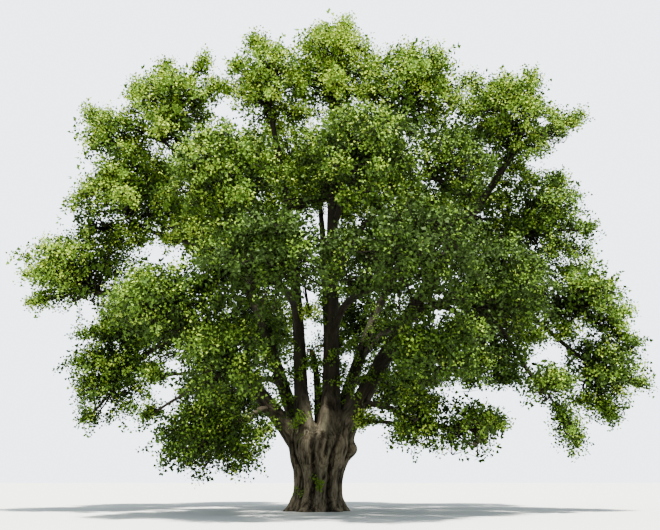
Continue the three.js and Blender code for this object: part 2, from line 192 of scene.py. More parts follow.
CROWN: tuple[LimbPlan, ...] = (
    LimbPlan("left_tip", 0.5, 4, [Lobe(184, 14.3, 13.6, 3.5, 3.0)], place(184, 1.2, 3.95), 50),
    LimbPlan("top_left", 0.44, 62, [Lobe(240, 5.6, 23.6, 2.5, 3.4)], place(188, 0.85, 4.1), 87),
    LimbPlan("top", 0.56, 86, [Lobe(293, 2.5, 26.0, 3.6, 3.4)], place(356, 0.85, 4.1), 88),
    LimbPlan("top_back", 0.42, 70,
             [Lobe(58, 5.8, 23.2, 3.6, 3.4), Lobe(122, 6.0, 23.0, 3.6, 3.4), Lobe(90, 1.8, 20.4, 3.0, 2.6)],
             parent="top", share=0.1),
    LimbPlan("upper_right", 0.55, 55, [Lobe(346, 11.7, 22.5, 3.4, 3.3), Lobe(356, 14.9, 22.8, 1.8, 1.5)],
             place(354, 1.35, 3.8), 62),
    LimbPlan("back_left_high", 0.45, 45, [Lobe(120, 10.8, 18.6, 3.8, 3.4), Lobe(155, 11.4, 20.6, 3.6, 3.0)],
             place(136, 1.2, 3.95), 62),
    LimbPlan("back_right_high", 0.45, 45, [Lobe(70, 11.0, 18.4, 3.8, 3.4), Lobe(28, 12.0, 19.6, 3.8, 3.3)],
             place(42, 1.2, 3.95), 62),
    LimbPlan("low_left", 0.2, -22, [Lobe(217, 6.8, 3.7, 3.4, 2.5)], parent="left_tip", share=0.14),
    LimbPlan("front_left_low", 0.2, -8, [Lobe(246, 9.9, 7.0, 2.9, 2.5)], parent="left_tip", share=0.3),
    LimbPlan("front_left", 0.2, 0, [Lobe(232, 11.6, 9.7, 3.1, 2.4), Lobe(246, 10.6, 11.4, 2.3, 1.8)],
             parent="left_tip", share=0.42),
    LimbPlan("left_hanging", 0.2, -42, [Lobe(180, 12.0, 7.9, 2.9, 3.8)], parent="left_tip", share=0.55),
    LimbPlan("front_centre", 0.2, 6, [Lobe(262, 12.6, 11.0, 3.2, 2.7)], parent="top_left", share=0.3),
    LimbPlan("left_shoulder", 0.26, 20, [Lobe(190, 11.5, 18.3, 3.6, 3.5), Lobe(184, 13.6, 16.2, 2.3, 2.1)],
             parent="top_left", share=0.4),
    LimbPlan("front_left_high", 0.2, 14, [Lobe(243, 9.9, 16.4, 3.6, 3.0)], parent="top_left", share=0.5),
    LimbPlan("upper_left", 0.24, 38, [Lobe(204, 9.2, 22.9, 2.9, 2.7), Lobe(195, 12.4, 21.0, 2.4, 2.3)],
             parent="top_left", share=0.6),
    LimbPlan("front_right", 0.24, 4, [Lobe(290, 13.0, 11.2, 3.7, 2.8)], parent="top", share=0.28),
    LimbPlan("front_high", 0.24, 24, [Lobe(285, 9.6, 17.2, 3.8, 3.2), Lobe(321, 9.6, 18.1, 2.7, 2.7)],
             parent="top", share=0.45),
    LimbPlan("top_right", 0.24, 50, [Lobe(320, 7.4, 23.2, 3.4, 3.4)], parent="top", share=0.62),
    LimbPlan("low_right", 0.19, -14, [Lobe(320, 6.7, 4.5, 2.1, 2.0), Lobe(327, 9.3, 4.2, 2.1, 2.0)],
             parent="upper_right", share=0.1),
    LimbPlan("front_right_low", 0.19, -8, [Lobe(303, 10.8, 7.4, 3.2, 2.2)], parent="upper_right", share=0.22),
    LimbPlan("right_tip", 0.32, -6, [Lobe(356, 15.4, 11.9, 3.1, 2.8)], parent="upper_right", share=0.4),
    LimbPlan("right_shoulder", 0.24, 14, [Lobe(356, 13.4, 16.8, 3.3, 3.3)], parent="upper_right", share=0.58),
    LimbPlan("right_inner", 0.19, -4, [Lobe(327, 11.4, 11.4, 3.4, 3.1), Lobe(334, 10.9, 7.7, 1.9, 1.8)],
             parent="right_tip", share=0.2),
    LimbPlan("right_drooping", 0.15, -50, [Lobe(346, 13.1, 6.8, 2.1, 1.4), Lobe(347, 14.0, 4.4, 1.3, 1.8)],
             parent="right_tip", share=0.42),
    LimbPlan("right_hanging", 0.17, -38, [Lobe(358, 16.6, 7.8, 2.5, 3.2)], parent="right_tip", share=0.66),
    LimbPlan("back_left_low", 0.22, -16, [Lobe(125, 11.4, 7.2, 3.8, 3.0)],
             parent="back_left_high", share=0.22),
    LimbPlan("back_left", 0.27, 0, [Lobe(110, 13.4, 12.8, 3.9, 3.2), Lobe(149, 13.8, 11.8, 3.8, 2.9)],
             parent="back_left_high", share=0.36),
    LimbPlan("back_right_low", 0.22, -14, [Lobe(58, 11.8, 8.0, 3.7, 2.8)],
             parent="back_right_high", share=0.22),
    LimbPlan("back_right", 0.27, 0, [Lobe(76, 13.6, 13.0, 3.9, 3.2), Lobe(32, 14.4, 12.8, 4.0, 3.2)],
             parent="back_right_high", share=0.36),
)


@dataclass
class Limb:
    """A bough laid out by the source's rule: its centre line, radii and lobes."""

    plan: LimbPlan
    parent: "Limb | None" = None
    tip_share: float = 0.3
    least_tip: float = 0.105
    bend: float = 0.38
    entry: float = 0.5
    most_of_parent: float = 0.8
    foot: float = field(init=False)
    tip_radius: float = field(init=False)
    controls: Array = field(init=False)
    length: float = field(init=False)

    def __post_init__(self) -> None:
        """Finds the limb's control points from its parent and its lobes."""
        hearts = np.array([lobe.heart for lobe in self.plan.lobes])
        middle = hearts.mean(axis=0)
        self.foot = self.plan.foot
        launch = None
        start = self.plan.start
        if self.parent is not None:
            start = self.parent.point(self.plan.share)
            self.foot = min(self.foot, self.most_of_parent * self.parent.radius(self.plan.share))
            launch = unit(self.parent.tangent(self.plan.share) + unit(middle - start))
        tip = middle + unit(start - middle) * self.entry * self.plan.lobes[0].radii[0]
        bearing = math.degrees(math.atan2(tip[1] - start[1], tip[0] - start[0]))
        if launch is None:
            launch = heading(bearing, self.plan.steep)
        span = float(np.linalg.norm(tip - start)) * self.bend
        arrival = heading(bearing, self.plan.arrive)
        self.controls = np.array((start, start + launch * span, tip - arrival * span, tip))
        self.tip_radius = max(self.least_tip, self.foot * self.tip_share)
        self._steps = np.linspace(0.0, 1.0, CURVE_STEPS)
        runs = np.linalg.norm(np.diff(self._bezier(self._steps), axis=0), axis=1)
        self._reach = np.concatenate(((0.0,), np.cumsum(runs)))
        self.length = float(self._reach[-1])

    def _bezier(self, t: Array) -> Array:
        """Finds points of the cubic curve.

        Args:
            t: The curve's own parameter, from 0 to 1.

        Returns:
            The points.
        """
        a, b, c, d = self.controls
        t = np.asarray(t)[..., None]
        return a * (1 - t) ** 3 + 3 * b * t * (1 - t) ** 2 + 3 * c * t * t * (1 - t) + d * t ** 3

    def point(self, share: Array | float) -> Array:
        """The centre line's point at a share of the limb's length."""
        return self._bezier(np.interp(np.asarray(share) * self.length, self._reach, self._steps))

    def tangent(self, share: Array | float) -> Array:
        """The way the limb runs at a share of its length."""
        low, high = (np.clip(np.asarray(share) + step, 0, 1) for step in (-TANGENT_STEP, TANGENT_STEP))
        return unit(self.point(high) - self.point(low))

    def radius(self, share: Array | float) -> Array | float:
        """The limb's radius at a share of its length."""
        return self.foot + (self.tip_radius - self.foot) * np.asarray(share)


def lay_out_limbs() -> dict[str, Limb]:
    """Lays out every bough of the crown, parents before the boughs that leave them.

    Returns:
        The boughs by name.
    """
    limbs: dict[str, Limb] = {}
    for plan in CROWN:
        limbs[plan.name] = Limb(plan, limbs.get(plan.parent))
    return limbs


@dataclass
class TubeMesh:
    """Tapering tubes gathered into one mesh."""

    sides: int
    vertices: list[Array] = field(default_factory=list)
    faces: list[Array] = field(default_factory=list)
    caps: list[Array] = field(default_factory=list)
    count: int = 0

    def add(self, paths: Array, radii: Array) -> None:
        """Adds tubes along many paths of one length.

        Args:
            paths: Points, as (tubes, rings, 3).
            radii: Radii, as (tubes, rings).
        """
        tubes, rings = paths.shape[:2]
        ways = unit(np.gradient(paths, axis=1))
        mean = unit(paths[:, -1] - paths[:, 0])
        helper = np.where(np.abs(mean[:, 1:2]) < 0.9, np.array((0.0, 1.0, 0.0)), np.array((1.0, 0.0, 0.0)))
        first = unit(np.cross(ways, helper[:, None, :]))
        second = np.cross(ways, first)
        angles = np.arange(self.sides) * 2 * math.pi / self.sides
        round_ = (first[:, :, None, :] * np.cos(angles)[None, None, :, None]
                  + second[:, :, None, :] * np.sin(angles)[None, None, :, None])
        points = paths[:, :, None, :] + round_ * radii[:, :, None, None]
        tube, ring, side = np.meshgrid(
            np.arange(tubes), np.arange(rings - 1), np.arange(self.sides), indexing="ij")
        follow = (side + 1) % self.sides
        low = self.count + (tube * rings + ring) * self.sides
        high = low + self.sides
        quads = np.stack((low + side, low + follow, high + follow, high + side), axis=-1)
        self.vertices.append(points.reshape(-1, 3))
        self.faces.append(quads.reshape(-1, 4))
        base = self.count + np.arange(tubes)[:, None] * rings * self.sides
        loop = np.arange(self.sides)[None, :]
        self.caps.append(base + loop[:, ::-1])
        self.caps.append(base + (rings - 1) * self.sides + loop)
        self.count += len(points.reshape(-1, 3))

    def spikes(self, feet: Array, tips: Array, foot_radius: float) -> None:
        """Adds many fine twigs, each a closed three-sided spike.

        Args:
            feet: Where they start.
            tips: Where they end.
            foot_radius: Their radius at the foot.
        """
        way = unit(tips - feet)
        helper = np.where(np.abs(way[:, 2:3]) < 0.9, UP, np.array((1.0, 0.0, 0.0)))
        side = unit(np.cross(way, helper)) * foot_radius
        other = np.cross(way, side)
        corners = [feet + math.cos(angle) * side + math.sin(angle) * other
                   for angle in (0.0, 2 * math.pi / 3, 4 * math.pi / 3)]
        start = self.count + 4 * np.arange(len(feet))[:, None]
        self.vertices.append(np.stack((*corners, tips), axis=1).reshape(-1, 3))
        for face in ((0, 2, 1), (0, 1, 3), (1, 2, 3), (2, 0, 3)):
            self.caps.append(start + np.array(face)[None])
        self.count += 4 * len(feet)

    def mesh(self, name: str) -> bpy.types.Mesh:
        """Makes the gathered tubes and spikes one mesh.

        Args:
            name: The mesh's name.

        Returns:
            The mesh.
        """
        mesh = bpy.data.meshes.new(name)
        faces = []
        for part in (*self.faces, *self.caps):
            faces.extend(part.tolist())
        mesh.from_pydata(np.concatenate(self.vertices).tolist(), [], faces)
        mesh.update()
        return mesh


def piece_of(name: str, mesh: bpy.types.Mesh) -> bpy.types.Object:
    """Puts a mesh in the scene.

    Args:
        name: The new object's name.
        mesh: The mesh that it holds.

    Returns:
        The object.
    """
    piece = bpy.data.objects.new(name, mesh)
    bpy.context.scene.collection.objects.link(piece)
    return piece


def seat(piece: bpy.types.Object, nodes: Sequence[str]) -> None:
    """Joins a finished piece to the tree: its body and the solids it stands for.

    Args:
        piece: The finished object.
        nodes: The solids that it replaces.
    """
    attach(piece, "root")
    if nodes:
        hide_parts(*nodes)
    triangles = sum(len(face.vertices) - 2 for face in piece.data.polygons)
    LOG.info("%s: %d triangles", piece.name, triangles)


def evaluated_mesh(piece: bpy.types.Object, name: str) -> bpy.types.Mesh:
    """Makes what an object's modifiers give a plain mesh.

    Args:
        piece: The object.
        name: The new mesh's name.

    Returns:
        The mesh.
    """
    depsgraph = bpy.context.evaluated_depsgraph_get()
    mesh = bpy.data.meshes.new_from_object(piece.evaluated_get(depsgraph), depsgraph=depsgraph)
    mesh.name = name
    return mesh


def vertex_places(mesh: bpy.types.Mesh) -> Array:
    """Reads where a mesh's vertices are.

    Args:
        mesh: The mesh.

    Returns:
        Their places, one row each.
    """
    places = np.empty(len(mesh.vertices) * 3)
    mesh.vertices.foreach_get("co", places)
    return places.reshape(-1, 3)


def keep_values(mesh: bpy.types.Mesh, values: Sequence[tuple[str, str, Array]]) -> None:
    """Keeps values on a mesh's points, where nodes read them.

    Args:
        mesh: The mesh.
        values: For each its name, its type and the numbers.
    """
    for name, kind, data in values:
        key = "vector" if kind == "FLOAT_VECTOR" else "value"
        sort = np.int32 if kind == "INT" else np.float32
        mesh.attributes.new(name, kind, "POINT").data.foreach_set(key, data.reshape(-1).astype(sort))


def finish_bark(mesh: bpy.types.Mesh, bark: bpy.types.Material) -> None:
    """Gives a mesh the bark and shades it smoothly."""
    mesh.materials.append(bark)
    mesh.polygons.foreach_set("use_smooth", np.ones(len(mesh.polygons), bool))


def plain_finish(name: str, colour: Colour, roughness: float) -> bpy.types.Material:
    """Makes a material of one colour.

    Args:
        name: The material's name.
        colour: Its base colour.
        roughness: How matt it is.

    Returns:
        The material.
    """
    material = bpy.data.materials.new(name)
    material.use_nodes = True
    shader = material.node_tree.nodes["Principled BSDF"]
    shader.inputs["Base Color"].default_value = (*colour, 1.0)
    shader.inputs["Roughness"].default_value = roughness
    return material


class Tone(IntEnum):
    """The greens that leaf sprays are dealt: lit and shaded copies of the leaf green, from painted full sun
    (SUNLIT) to painted deep shade (SHADED), partly also the real paler green of sun leaves. WITHERED is the
    dead leaves' own brown.
    """

    SUNLIT = 0
    PART_SUNLIT = 1
    MID = 2
    DEEP = 3
    SHADED = 4
    WITHERED = 5


@dataclass(frozen=True)
class LeafFinish:
    """One plain colour of the leaves: a green that stands for painted sun or painted shade, or the withered
    brown.
    """

    tone: Tone
    colour: Colour
    roughness: float = 0.5
    gloss: float = 0.1

    def material(self) -> bpy.types.Material:
        """Makes a soft satin leaf surface in this green.

        Returns:
            The material.
        """
        material = plain_finish(f"leaf_{self.tone.name.lower()}", self.colour, self.roughness)
        shader = material.node_tree.nodes["Principled BSDF"]
        shader.inputs["Specular IOR Level"].default_value = self.gloss
        return material


# Paler greens are painted sunlight and darker greens painted shade; the last is the withered leaves' own
# brown.
LEAF_FINISHES: tuple[LeafFinish, ...] = (
    LeafFinish(Tone.SUNLIT, (0.345, 0.44, 0.085), 0.5),
    LeafFinish(Tone.PART_SUNLIT, (0.215, 0.33, 0.062), 0.52),
    LeafFinish(Tone.MID, (0.12, 0.198, 0.035), 0.55),
    LeafFinish(Tone.DEEP, (0.063, 0.113, 0.021), 0.58),
    LeafFinish(Tone.SHADED, (0.033, 0.058, 0.013), 0.6),
    LeafFinish(Tone.WITHERED, (0.19, 0.085, 0.035), 0.7),
)


@dataclass(frozen=True)
class BarkNodes:
    """The kinds of node that the bark is put together from, in one material's tree."""

    tree: bpy.types.NodeTree

    def add(self, kind: str, numbers: dict[str, float]) -> bpy.types.Node:
        """Adds a node.

        Args:
            kind: Its type.
            numbers: The numbers on its own sockets.

        Returns:
            The node.
        """
        node = self.tree.nodes.new(kind)
        for name, number in numbers.items():
            node.inputs[name].default_value = number
        return node

    def link(self, source: bpy.types.NodeSocket, target: bpy.types.NodeSocket) -> None:
        """Joins two sockets."""
        self.tree.links.new(source, target)

    def value(self, name: str) -> bpy.types.Node:
        """Adds a node that reads one of the mesh's own values.

        Args:
            name: The value's name.

        Returns:
            The node.
        """
        node = self.add("ShaderNodeAttribute", {})
        node.attribute_name = name
        return node

    def noise(self, scale: float, detail: float, rough: float = 0.6) -> bpy.types.NodeSocket:
        """Adds a noise texture on the bark's own grain.

        Args:
            scale: How fine it is.
            detail: How many finer layers it has.
            rough: How strong the finer layers are.

        Returns:
            The noise.
        """
        texture = self.add("ShaderNodeTexNoise", {"Scale": scale, "Detail": detail, "Roughness": rough})
        self.link(self.value("grain").outputs["Vector"], texture.inputs["Vector"])
        return texture.outputs["Fac"]

    def span(self, source: bpy.types.NodeSocket, low: float, high: float, to_low: float,
             to_high: float) -> bpy.types.NodeSocket:
        """Brings a value from one span to another.

        Args:
            source: The value.
            low: The first span's start.
            high: The first span's end.
            to_low: The second span's start.
            to_high: The second span's end.

        Returns:
            The new value.
        """
        node = self.add("ShaderNodeMapRange", {
            "From Min": low, "From Max": high, "To Min": to_low, "To Max": to_high})
        self.link(source, node.inputs["Value"])
        return node.outputs["Result"]

    def sum_of(self, source: bpy.types.NodeSocket, weight: float,
               rest: bpy.types.NodeSocket) -> bpy.types.NodeSocket:
        """Adds one value times its weight to another.

        Args:
            source: The value.
            weight: Its weight.
            rest: The other value.

        Returns:
            The sum.
        """
        node = self.add("ShaderNodeMath", {})
        node.operation = "MULTIPLY_ADD"
        node.inputs[1].default_value = weight
        self.link(source, node.inputs[0])
        self.link(rest, node.inputs[2])
        return node.outputs["Value"]

    def tint(self, share: bpy.types.NodeSocket, base: bpy.types.NodeSocket,
             colour: Colour) -> bpy.types.NodeSocket:
        """Lays a colour over another.

        Args:
            share: How much of it shows.
            base: The colour below.
            colour: The colour above.

        Returns:
            The mixed colour.
        """
        node = self.add("ShaderNodeMix", {})
        node.data_type = "RGBA"
        node.inputs["B"].default_value = (*colour, 1.0)
        self.link(share, node.inputs["Factor"])
        self.link(base, node.inputs["A"])
        return node.outputs["Result"]


@dataclass(frozen=True)
class BarkFinish:
    """Grey-brown furrowed bark that follows each limb's own grain."""

    name: str
    # Plates pale and furrows nearly black: the dark furrow colour is partly the bark's own, partly painted
    # shade.
    plate: Colour = (0.17, 0.145, 0.102)
    middle: Colour = (0.086, 0.071, 0.048)
    furrow: Colour = (0.018, 0.014, 0.009)
    lichen: Colour = (0.15, 0.155, 0.1)
    stain: Colour = (0.03, 0.027, 0.019)
    # Painted shade of the crown: the bark darkens from the top of the trunk up the limbs.
    crown_shade: Colour = (0.016, 0.0135, 0.009)
    crown_shade_from: tuple[float, float] = (3.4, 7.0)
    crown_shade_share: float = 0.9
    plate_scale: float = 8.5
    plate_edge: float = 0.2
    plate_height: float = 0.22
    fine_height: float = 0.4
    ridge_height: float = 0.6
    relief_height: float = 0.62
    most_height: float = 1.4
    furrow_end: float = 0.5
    middle_at: float = 0.72
    plate_from: float = 1.32 / 1.4
    gloss: float = 0.2
    bump: float = 0.75
    bump_distance: float = 0.035

    def height(self, nodes: BarkNodes) -> bpy.types.NodeSocket:
        """Adds up the bark's height from plates, fine grain, ridges and the mesh's own relief.

        Args:
            nodes: The material's nodes.

        Returns:
            The height.
        """
        plates = nodes.add("ShaderNodeTexVoronoi", {"Scale": self.plate_scale})
        plates.feature = "DISTANCE_TO_EDGE"
        nodes.link(nodes.value("grain").outputs["Vector"], plates.inputs["Vector"])
        edge = nodes.span(plates.outputs["Distance"], 0.0, self.plate_edge, 0.0, 1.0)
        height = nodes.span(edge, 0.0, 1.0, 0.0, self.plate_height)
        height = nodes.sum_of(nodes.noise(30.0, 5.0, 0.7), self.fine_height, height)
        height = nodes.sum_of(nodes.noise(6.0, 4.0), self.ridge_height, height)
        return nodes.sum_of(nodes.value("relief").outputs["Fac"], self.relief_height, height)

    def colour(self, nodes: BarkNodes, height: bpy.types.NodeSocket) -> bpy.types.NodeSocket:
        """Colours the bark by its height, with lichen, wet streaks, and painted crown shade that darkens the
        wood above the fork.

        Args:
            nodes: The material's nodes.
            height: The bark's height.

        Returns:
            The colour.
        """
        # Lower bark is coloured darker, down to near black in the furrows: partly the bark's own darker
        # furrows, partly painted shade in them.
        ramp = nodes.add("ShaderNodeValToRGB", {})
        low, high = ramp.color_ramp.elements
        low.position, low.color = self.furrow_end, (*self.furrow, 1.0)
        high.position, high.color = self.plate_from, (*self.plate, 1.0)
        ramp.color_ramp.elements.new(self.middle_at).color = (*self.middle, 1.0)
        nodes.link(nodes.span(height, 0.0, self.most_height, 0.0, 1.0), ramp.inputs["Fac"])
        patches = nodes.span(nodes.noise(1.3, 3.0), 0.52, 0.74, 0.0, 0.5)
        colour = nodes.tint(patches, ramp.outputs["Color"], self.lichen)
        streaks = nodes.span(nodes.noise(2.6, 2.0), 0.55, 0.75, 0.0, 0.6)
        colour = nodes.tint(streaks, colour, self.stain)
        # Painted shade: the bark is darkened with height, as the crown shades the limbs.
        level = nodes.add("ShaderNodeSeparateXYZ", {})
        nodes.link(nodes.add("ShaderNodeTexCoord", {}).outputs["Object"], level.inputs["Vector"])
        up = nodes.span(level.outputs["Z"], *self.crown_shade_from, 0.0, self.crown_shade_share)
        return nodes.tint(up, colour, self.crown_shade)

    def material(self) -> bpy.types.Material:
        """Makes the bark, with its colour, roughness and bump all from one height.

        Returns:
            The material.
        """
        material = bpy.data.materials.new(self.name)
        material.use_nodes = True
        nodes = BarkNodes(material.node_tree)
        shader = material.node_tree.nodes["Principled BSDF"]
        shader.inputs["Specular IOR Level"].default_value = self.gloss
        height = self.height(nodes)
        nodes.link(self.colour(nodes, height), shader.inputs["Base Color"])
        nodes.link(nodes.span(height, 0.4, 1.3, 0.98, 0.82), shader.inputs["Roughness"])
        bump = nodes.add("ShaderNodeBump", {"Strength": self.bump, "Distance": self.bump_distance})
        nodes.link(height, bump.inputs["Height"])
        nodes.link(bump.outputs["Normal"], shader.inputs["Normal"])
        return material


@dataclass
class Grain:
    """The bark's own coordinates on a limb: round it, and along it."""

    points: Array
    ways: Array
    radii: Array
    runs: Array
    owner: Array

    @classmethod
    def of(cls, lines: Sequence[tuple[Array, Array, int]]) -> "Grain":
        """Samples centre lines.

        Args:
            lines: For each limb its centre line's points, its radii and its own number.

        Returns:
            All the samples together.
        """
        gaps = [np.linalg.norm(np.diff(line, axis=0), axis=1) for line, _, _ in lines]
        return cls(
            points=np.concatenate([line for line, _, _ in lines]),
            ways=np.concatenate([unit(np.gradient(line, axis=0)) for line, _, _ in lines]),
            radii=np.concatenate([radius for _, radius, _ in lines]),
            runs=np.concatenate([np.concatenate(((0.0,), np.cumsum(gap))) for gap in gaps]),
            owner=np.concatenate([np.full(len(line), number) for line, _, number in lines]))

    def read(self, vertices: Array) -> tuple[Array, Array]:
        """Finds the grain under each vertex.

        Args:
            vertices: Places on the bark.

        Returns:
            The grain's coordinates, and the radius of the limb there.
        """
        grain = np.zeros_like(vertices)
        radius = np.zeros(len(vertices))
        for low in range(0, len(vertices), GRAIN_BLOCK):
            block = slice(low, low + GRAIN_BLOCK)
            chunk = vertices[block]
            gap = np.linalg.norm(chunk[:, None, :] - self.points[None, :, :], axis=2) - self.radii[None, :]
            near = np.argmin(gap, axis=1)
            way = self.ways[near]
            side = unit(np.cross(way, np.array((0.02, 1.0, 0.03))))
            off = chunk - self.points[near]
            grain[block, 0] = np.einsum("ij,ij->i", off, side) + GRAIN_SHIFT * self.owner[near]
            grain[block, 1] = np.einsum("ij,ij->i", off, np.cross(way, side))
            grain[block, 2] = GRAIN_STRETCH * (self.runs[near] + np.einsum("ij,ij->i", off, way))
            radius[block] = self.radii[near]
        return grain, radius


@dataclass(frozen=True)
class Crease:
    """A crease that runs down the trunk, cut into the wood and coloured darker as painted shade."""

    depth: float
    width: float
    path: tuple[tuple[float, float], ...]
    fade: float = 0.35

    def cut(self, angle: Array, height: Array, radius: Array) -> Array:
        """How deep it cuts at each place.

        Args:
            angle: The places' bearings, in radians.
            height: Their heights.
            radius: Their distances from the trunk's axis.

        Returns:
            Depths in metres.
        """
        levels, bearings = np.array(self.path).T
        round_ = wrapped(angle - np.radians(np.interp(height, levels, bearings))) * radius
        ends = np.clip((height - levels[0]) / self.fade + 1, 0, 1)
        ends = ends * np.clip((levels[-1] - height) / self.fade + 1, 0, 1)
        return self.depth * ends * np.exp(-(round_ / self.width) ** 2)


CREASES: tuple[Crease, ...] = (
    Crease(0.2, 0.12, (
        (0.1, -61), (1.0, -60), (1.6, -59), (2.2, -62), (2.8, -65), (3.4, -60), (4.05, -51), (4.5, -46))),
    Crease(0.17, 0.13, ((0.2, -100), (2.2, -100), (3.3, -104), (3.9, -106), (4.5, -108))),
    Crease(0.13, 0.11, ((0.1, -128), (1.6, -130), (2.65, -140), (3.1, -149), (3.7, -149))),
    Crease(0.12, 0.1, ((3.1, -78), (4.3, -72))),
    Crease(0.12, 0.13, ((0.2, -22), (2.0, -20), (4.2, -24))),
    Crease(0.13, 0.13, ((0.1, 20), (2.0, 22), (4.3, 16))),
    Crease(0.12, 0.12, ((0.1, 62), (2.4, 58), (4.3, 63))),
    Crease(0.15, 0.13, ((0.1, 99), (2.0, 101), (4.4, 106))),
    Crease(0.12, 0.12, ((0.1, 141), (2.2, 138), (4.3, 146))),
    Crease(0.13, 0.12, ((0.1, 180), (2.2, 178), (4.2, 184))),
)


@dataclass
class Wood:
    """The trunk and boughs with their bark."""

    limbs: dict[str, Limb]
    profile: tuple[tuple[float, float], ...] = (
        (0.0, 1.56), (0.3, 1.44), (0.9, 1.31), (1.5, 1.3), (2.1, 1.4), (2.8, 1.64),
        (3.4, 1.79), (3.8, 1.8), (4.2, 1.55), (4.5, 1.15), (4.7, 0.7), (4.8, 0.35))
    ribs: tuple[tuple[str, float], ...] = (
        ("left_tip", 212.0), ("top_left", 247.0), ("top", 284.0), ("upper_right", 322.0),
        ("back_right_high", 40.0), ("back_left_high", 140.0))
    rib_foot: tuple[float, float] = (2.5, 0.55)
    rib_top: float = 2.8
    lean: float = 0.06
    buttresses: int = 7
    flare: float = 0.13
    flare_height: float = 0.75
    flutes: int = 9
    flute_depth: float = 0.04
    burl: tuple[float, float, float, float] = (352.0, 3.35, 0.36, 0.46)
    voxel: float = 0.068
    skin_reach: float = 5.2
    collar: float = 0.34
    collar_reach: float = 1.5
    blend_times: int = 40
    blend_from: tuple[float, float] = (2.9, 1.0)
    blend_to: tuple[float, float] = (7.0, 1.4)
    furrow: float = 0.05
    shell_sides: int = 96
    shell_rings: int = 70
    main_sides: int = 20
    side_sides: int = 14

    def trunk_radius(self, angle: Array, height: Array) -> Array:
        """Finds the trunk's radius from its taper, root flare, flutes and burl.

        Args:
            angle: Bearings, in radians.
            height: Heights.

        Returns:
            The radius at each.
        """
        heights, radii = np.array(self.profile).T
        mean = np.interp(height, heights, radii)
        flare = self.flare * np.exp(-height / self.flare_height)
        buttress = 0.5 + 0.5 * np.cos(self.buttresses * angle + np.sin(2 * angle))
        rising = np.clip(height / 1.5, 0, 1)
        flute = self.flute_depth * rising * np.cos(self.flutes * angle)
        bearing, level, bulge, width = self.burl
        round_ = wrapped(angle - math.radians(bearing)) * mean
        burl = bulge * np.exp(-((round_ ** 2 + (height - level) ** 2) / width ** 2) ** 1.5)
        return mean * (1 + 2 * flare * buttress + flute) + burl

    def trunk_shell(self) -> bpy.types.Mesh:
        """Makes the trunk a closed shell, which runs a little way below the ground before it is cut there.

        Returns:
            The shell.
        """
        sides, rings = self.shell_sides, self.shell_rings
        angles = np.arange(sides) * 2 * math.pi / sides
        level, angle = np.meshgrid(np.linspace(0.0, self.profile[-1][0], rings), angles, indexing="ij")
        radius = self.trunk_radius(angle, level)
        points = np.stack(
            (self.lean * level + radius * np.cos(angle), radius * np.sin(angle), level), axis=-1)
        points = np.concatenate((points[:1] - 0.3 * UP, points))
        ring, side = np.meshgrid(np.arange(rings), np.arange(sides), indexing="ij")
        follow = (side + 1) % sides
        low, high = ring * sides, (ring + 1) * sides
        quads = np.stack((low + side, low + follow, high + follow, high + side), axis=-1)
        faces = quads.reshape(-1, 4).tolist()
        faces.append(list(range(sides))[::-1])
        faces.append([rings * sides + index for index in range(sides)])
        mesh = bpy.data.meshes.new("trunk_shell")
        mesh.from_pydata(points.reshape(-1, 3).tolist(), [], faces)
        return mesh

    def limb_line(self, limb: Limb, step: float) -> tuple[Array, Array, Array]:
        """A limb's centre line and radii, with a swelling where it leaves.

        Args:
            limb: The limb.
            step: How far apart its points stand.

        Returns:
            Its points, its radii, and how far along the limb they lie.
        """
        share = np.linspace(0.0, 1.0, max(6, int(limb.length / step)))
        runs = share * limb.length
        reach = self.collar_reach if limb.parent is None else 2.2 * limb.foot
        return limb.point(share), limb.radius(share) * (1 + self.collar * np.exp(-runs / reach)), runs

    def rib(self, limb: Limb, bearing: float) -> tuple[Array, Array]:
        """The rib by which a main limb's surface runs down into the trunk.

        Args:
            limb: The limb.
            bearing: Where round the trunk the rib ends.

        Returns:
            Its points and radii.
        """
        height, thick = self.rib_foot
        reach = float(self.trunk_radius(np.radians(bearing), np.array(height))) - 0.82 * thick
        foot = place(bearing, reach, height) + np.array((self.lean * height, 0.0, 0.0))
        top = limb.point(self.rib_top / limb.length)
        share = np.linspace(0.0, 1.0, 14)[:, None]
        points = bow(share, foot, foot + 1.4 * UP, top)
        end = 0.96 * limb.radius(self.rib_top / limb.length)
        return points, thick + (end - thick) * share[:, 0]

    def press_relief(self, mesh: bpy.types.Mesh, grain: Grain, creases: Sequence[Crease]) -> None:
        """Presses the furrows and creases into a bark mesh, and keeps its grain and relief for the finish.

        Args:
            mesh: The bark.
            grain: The limbs under it.
            creases: The creases that run down it.
        """
        count = len(mesh.vertices)
        places = vertex_places(mesh)
        way = np.empty(count * 3, np.float32)
        mesh.vertex_normals.foreach_get("vector", way)
        way = way.reshape(-1, 3).astype(float)
        lines, radius = grain.read(places)
        warp = np.stack(
            (value_noise(lines * 1.7, 3), value_noise(lines * 1.7, 4), np.zeros(count)), axis=1) - 0.5
        rough = value_noise(lines * 6.0 + warp * 2.2, 11)
        fine = value_noise(lines * 13.0 + warp * 3.0, 12)
        relief = np.clip(1.25 * (1.0 - np.abs(2.0 * rough - 1.0)) ** 0.8 - 0.25 * fine, 0.0, 1.0)
        push = self.furrow * np.clip(radius / 1.2, 0.12, 1.0) * (relief - 0.6)
        from_axis = places[:, :2] - np.stack((self.lean * places[:, 2], np.zeros(count)), axis=1)
        angle, far = np.arctan2(from_axis[:, 1], from_axis[:, 0]), np.linalg.norm(from_axis, axis=1)
        for crease in creases:
            cut = crease.cut(angle, places[:, 2], far) * (far > 0.8)
            push -= cut
            # Painted shade: each crease's relief is lowered, so the bark's colour is darker in it.
            relief = relief * (1.0 - 0.85 * cut / crease.depth)
        low = np.clip(places[:, 2] / 0.5, 0, 1)
        way[:, 2] *= low
        places = places + way * (push * (places[:, 2] > 0.01))[:, None]
        mesh.vertices.foreach_set("co", places.reshape(-1))
        keep_values(mesh, (("grain", "FLOAT_VECTOR", lines), ("relief", "FLOAT", relief)))
        mesh.update()

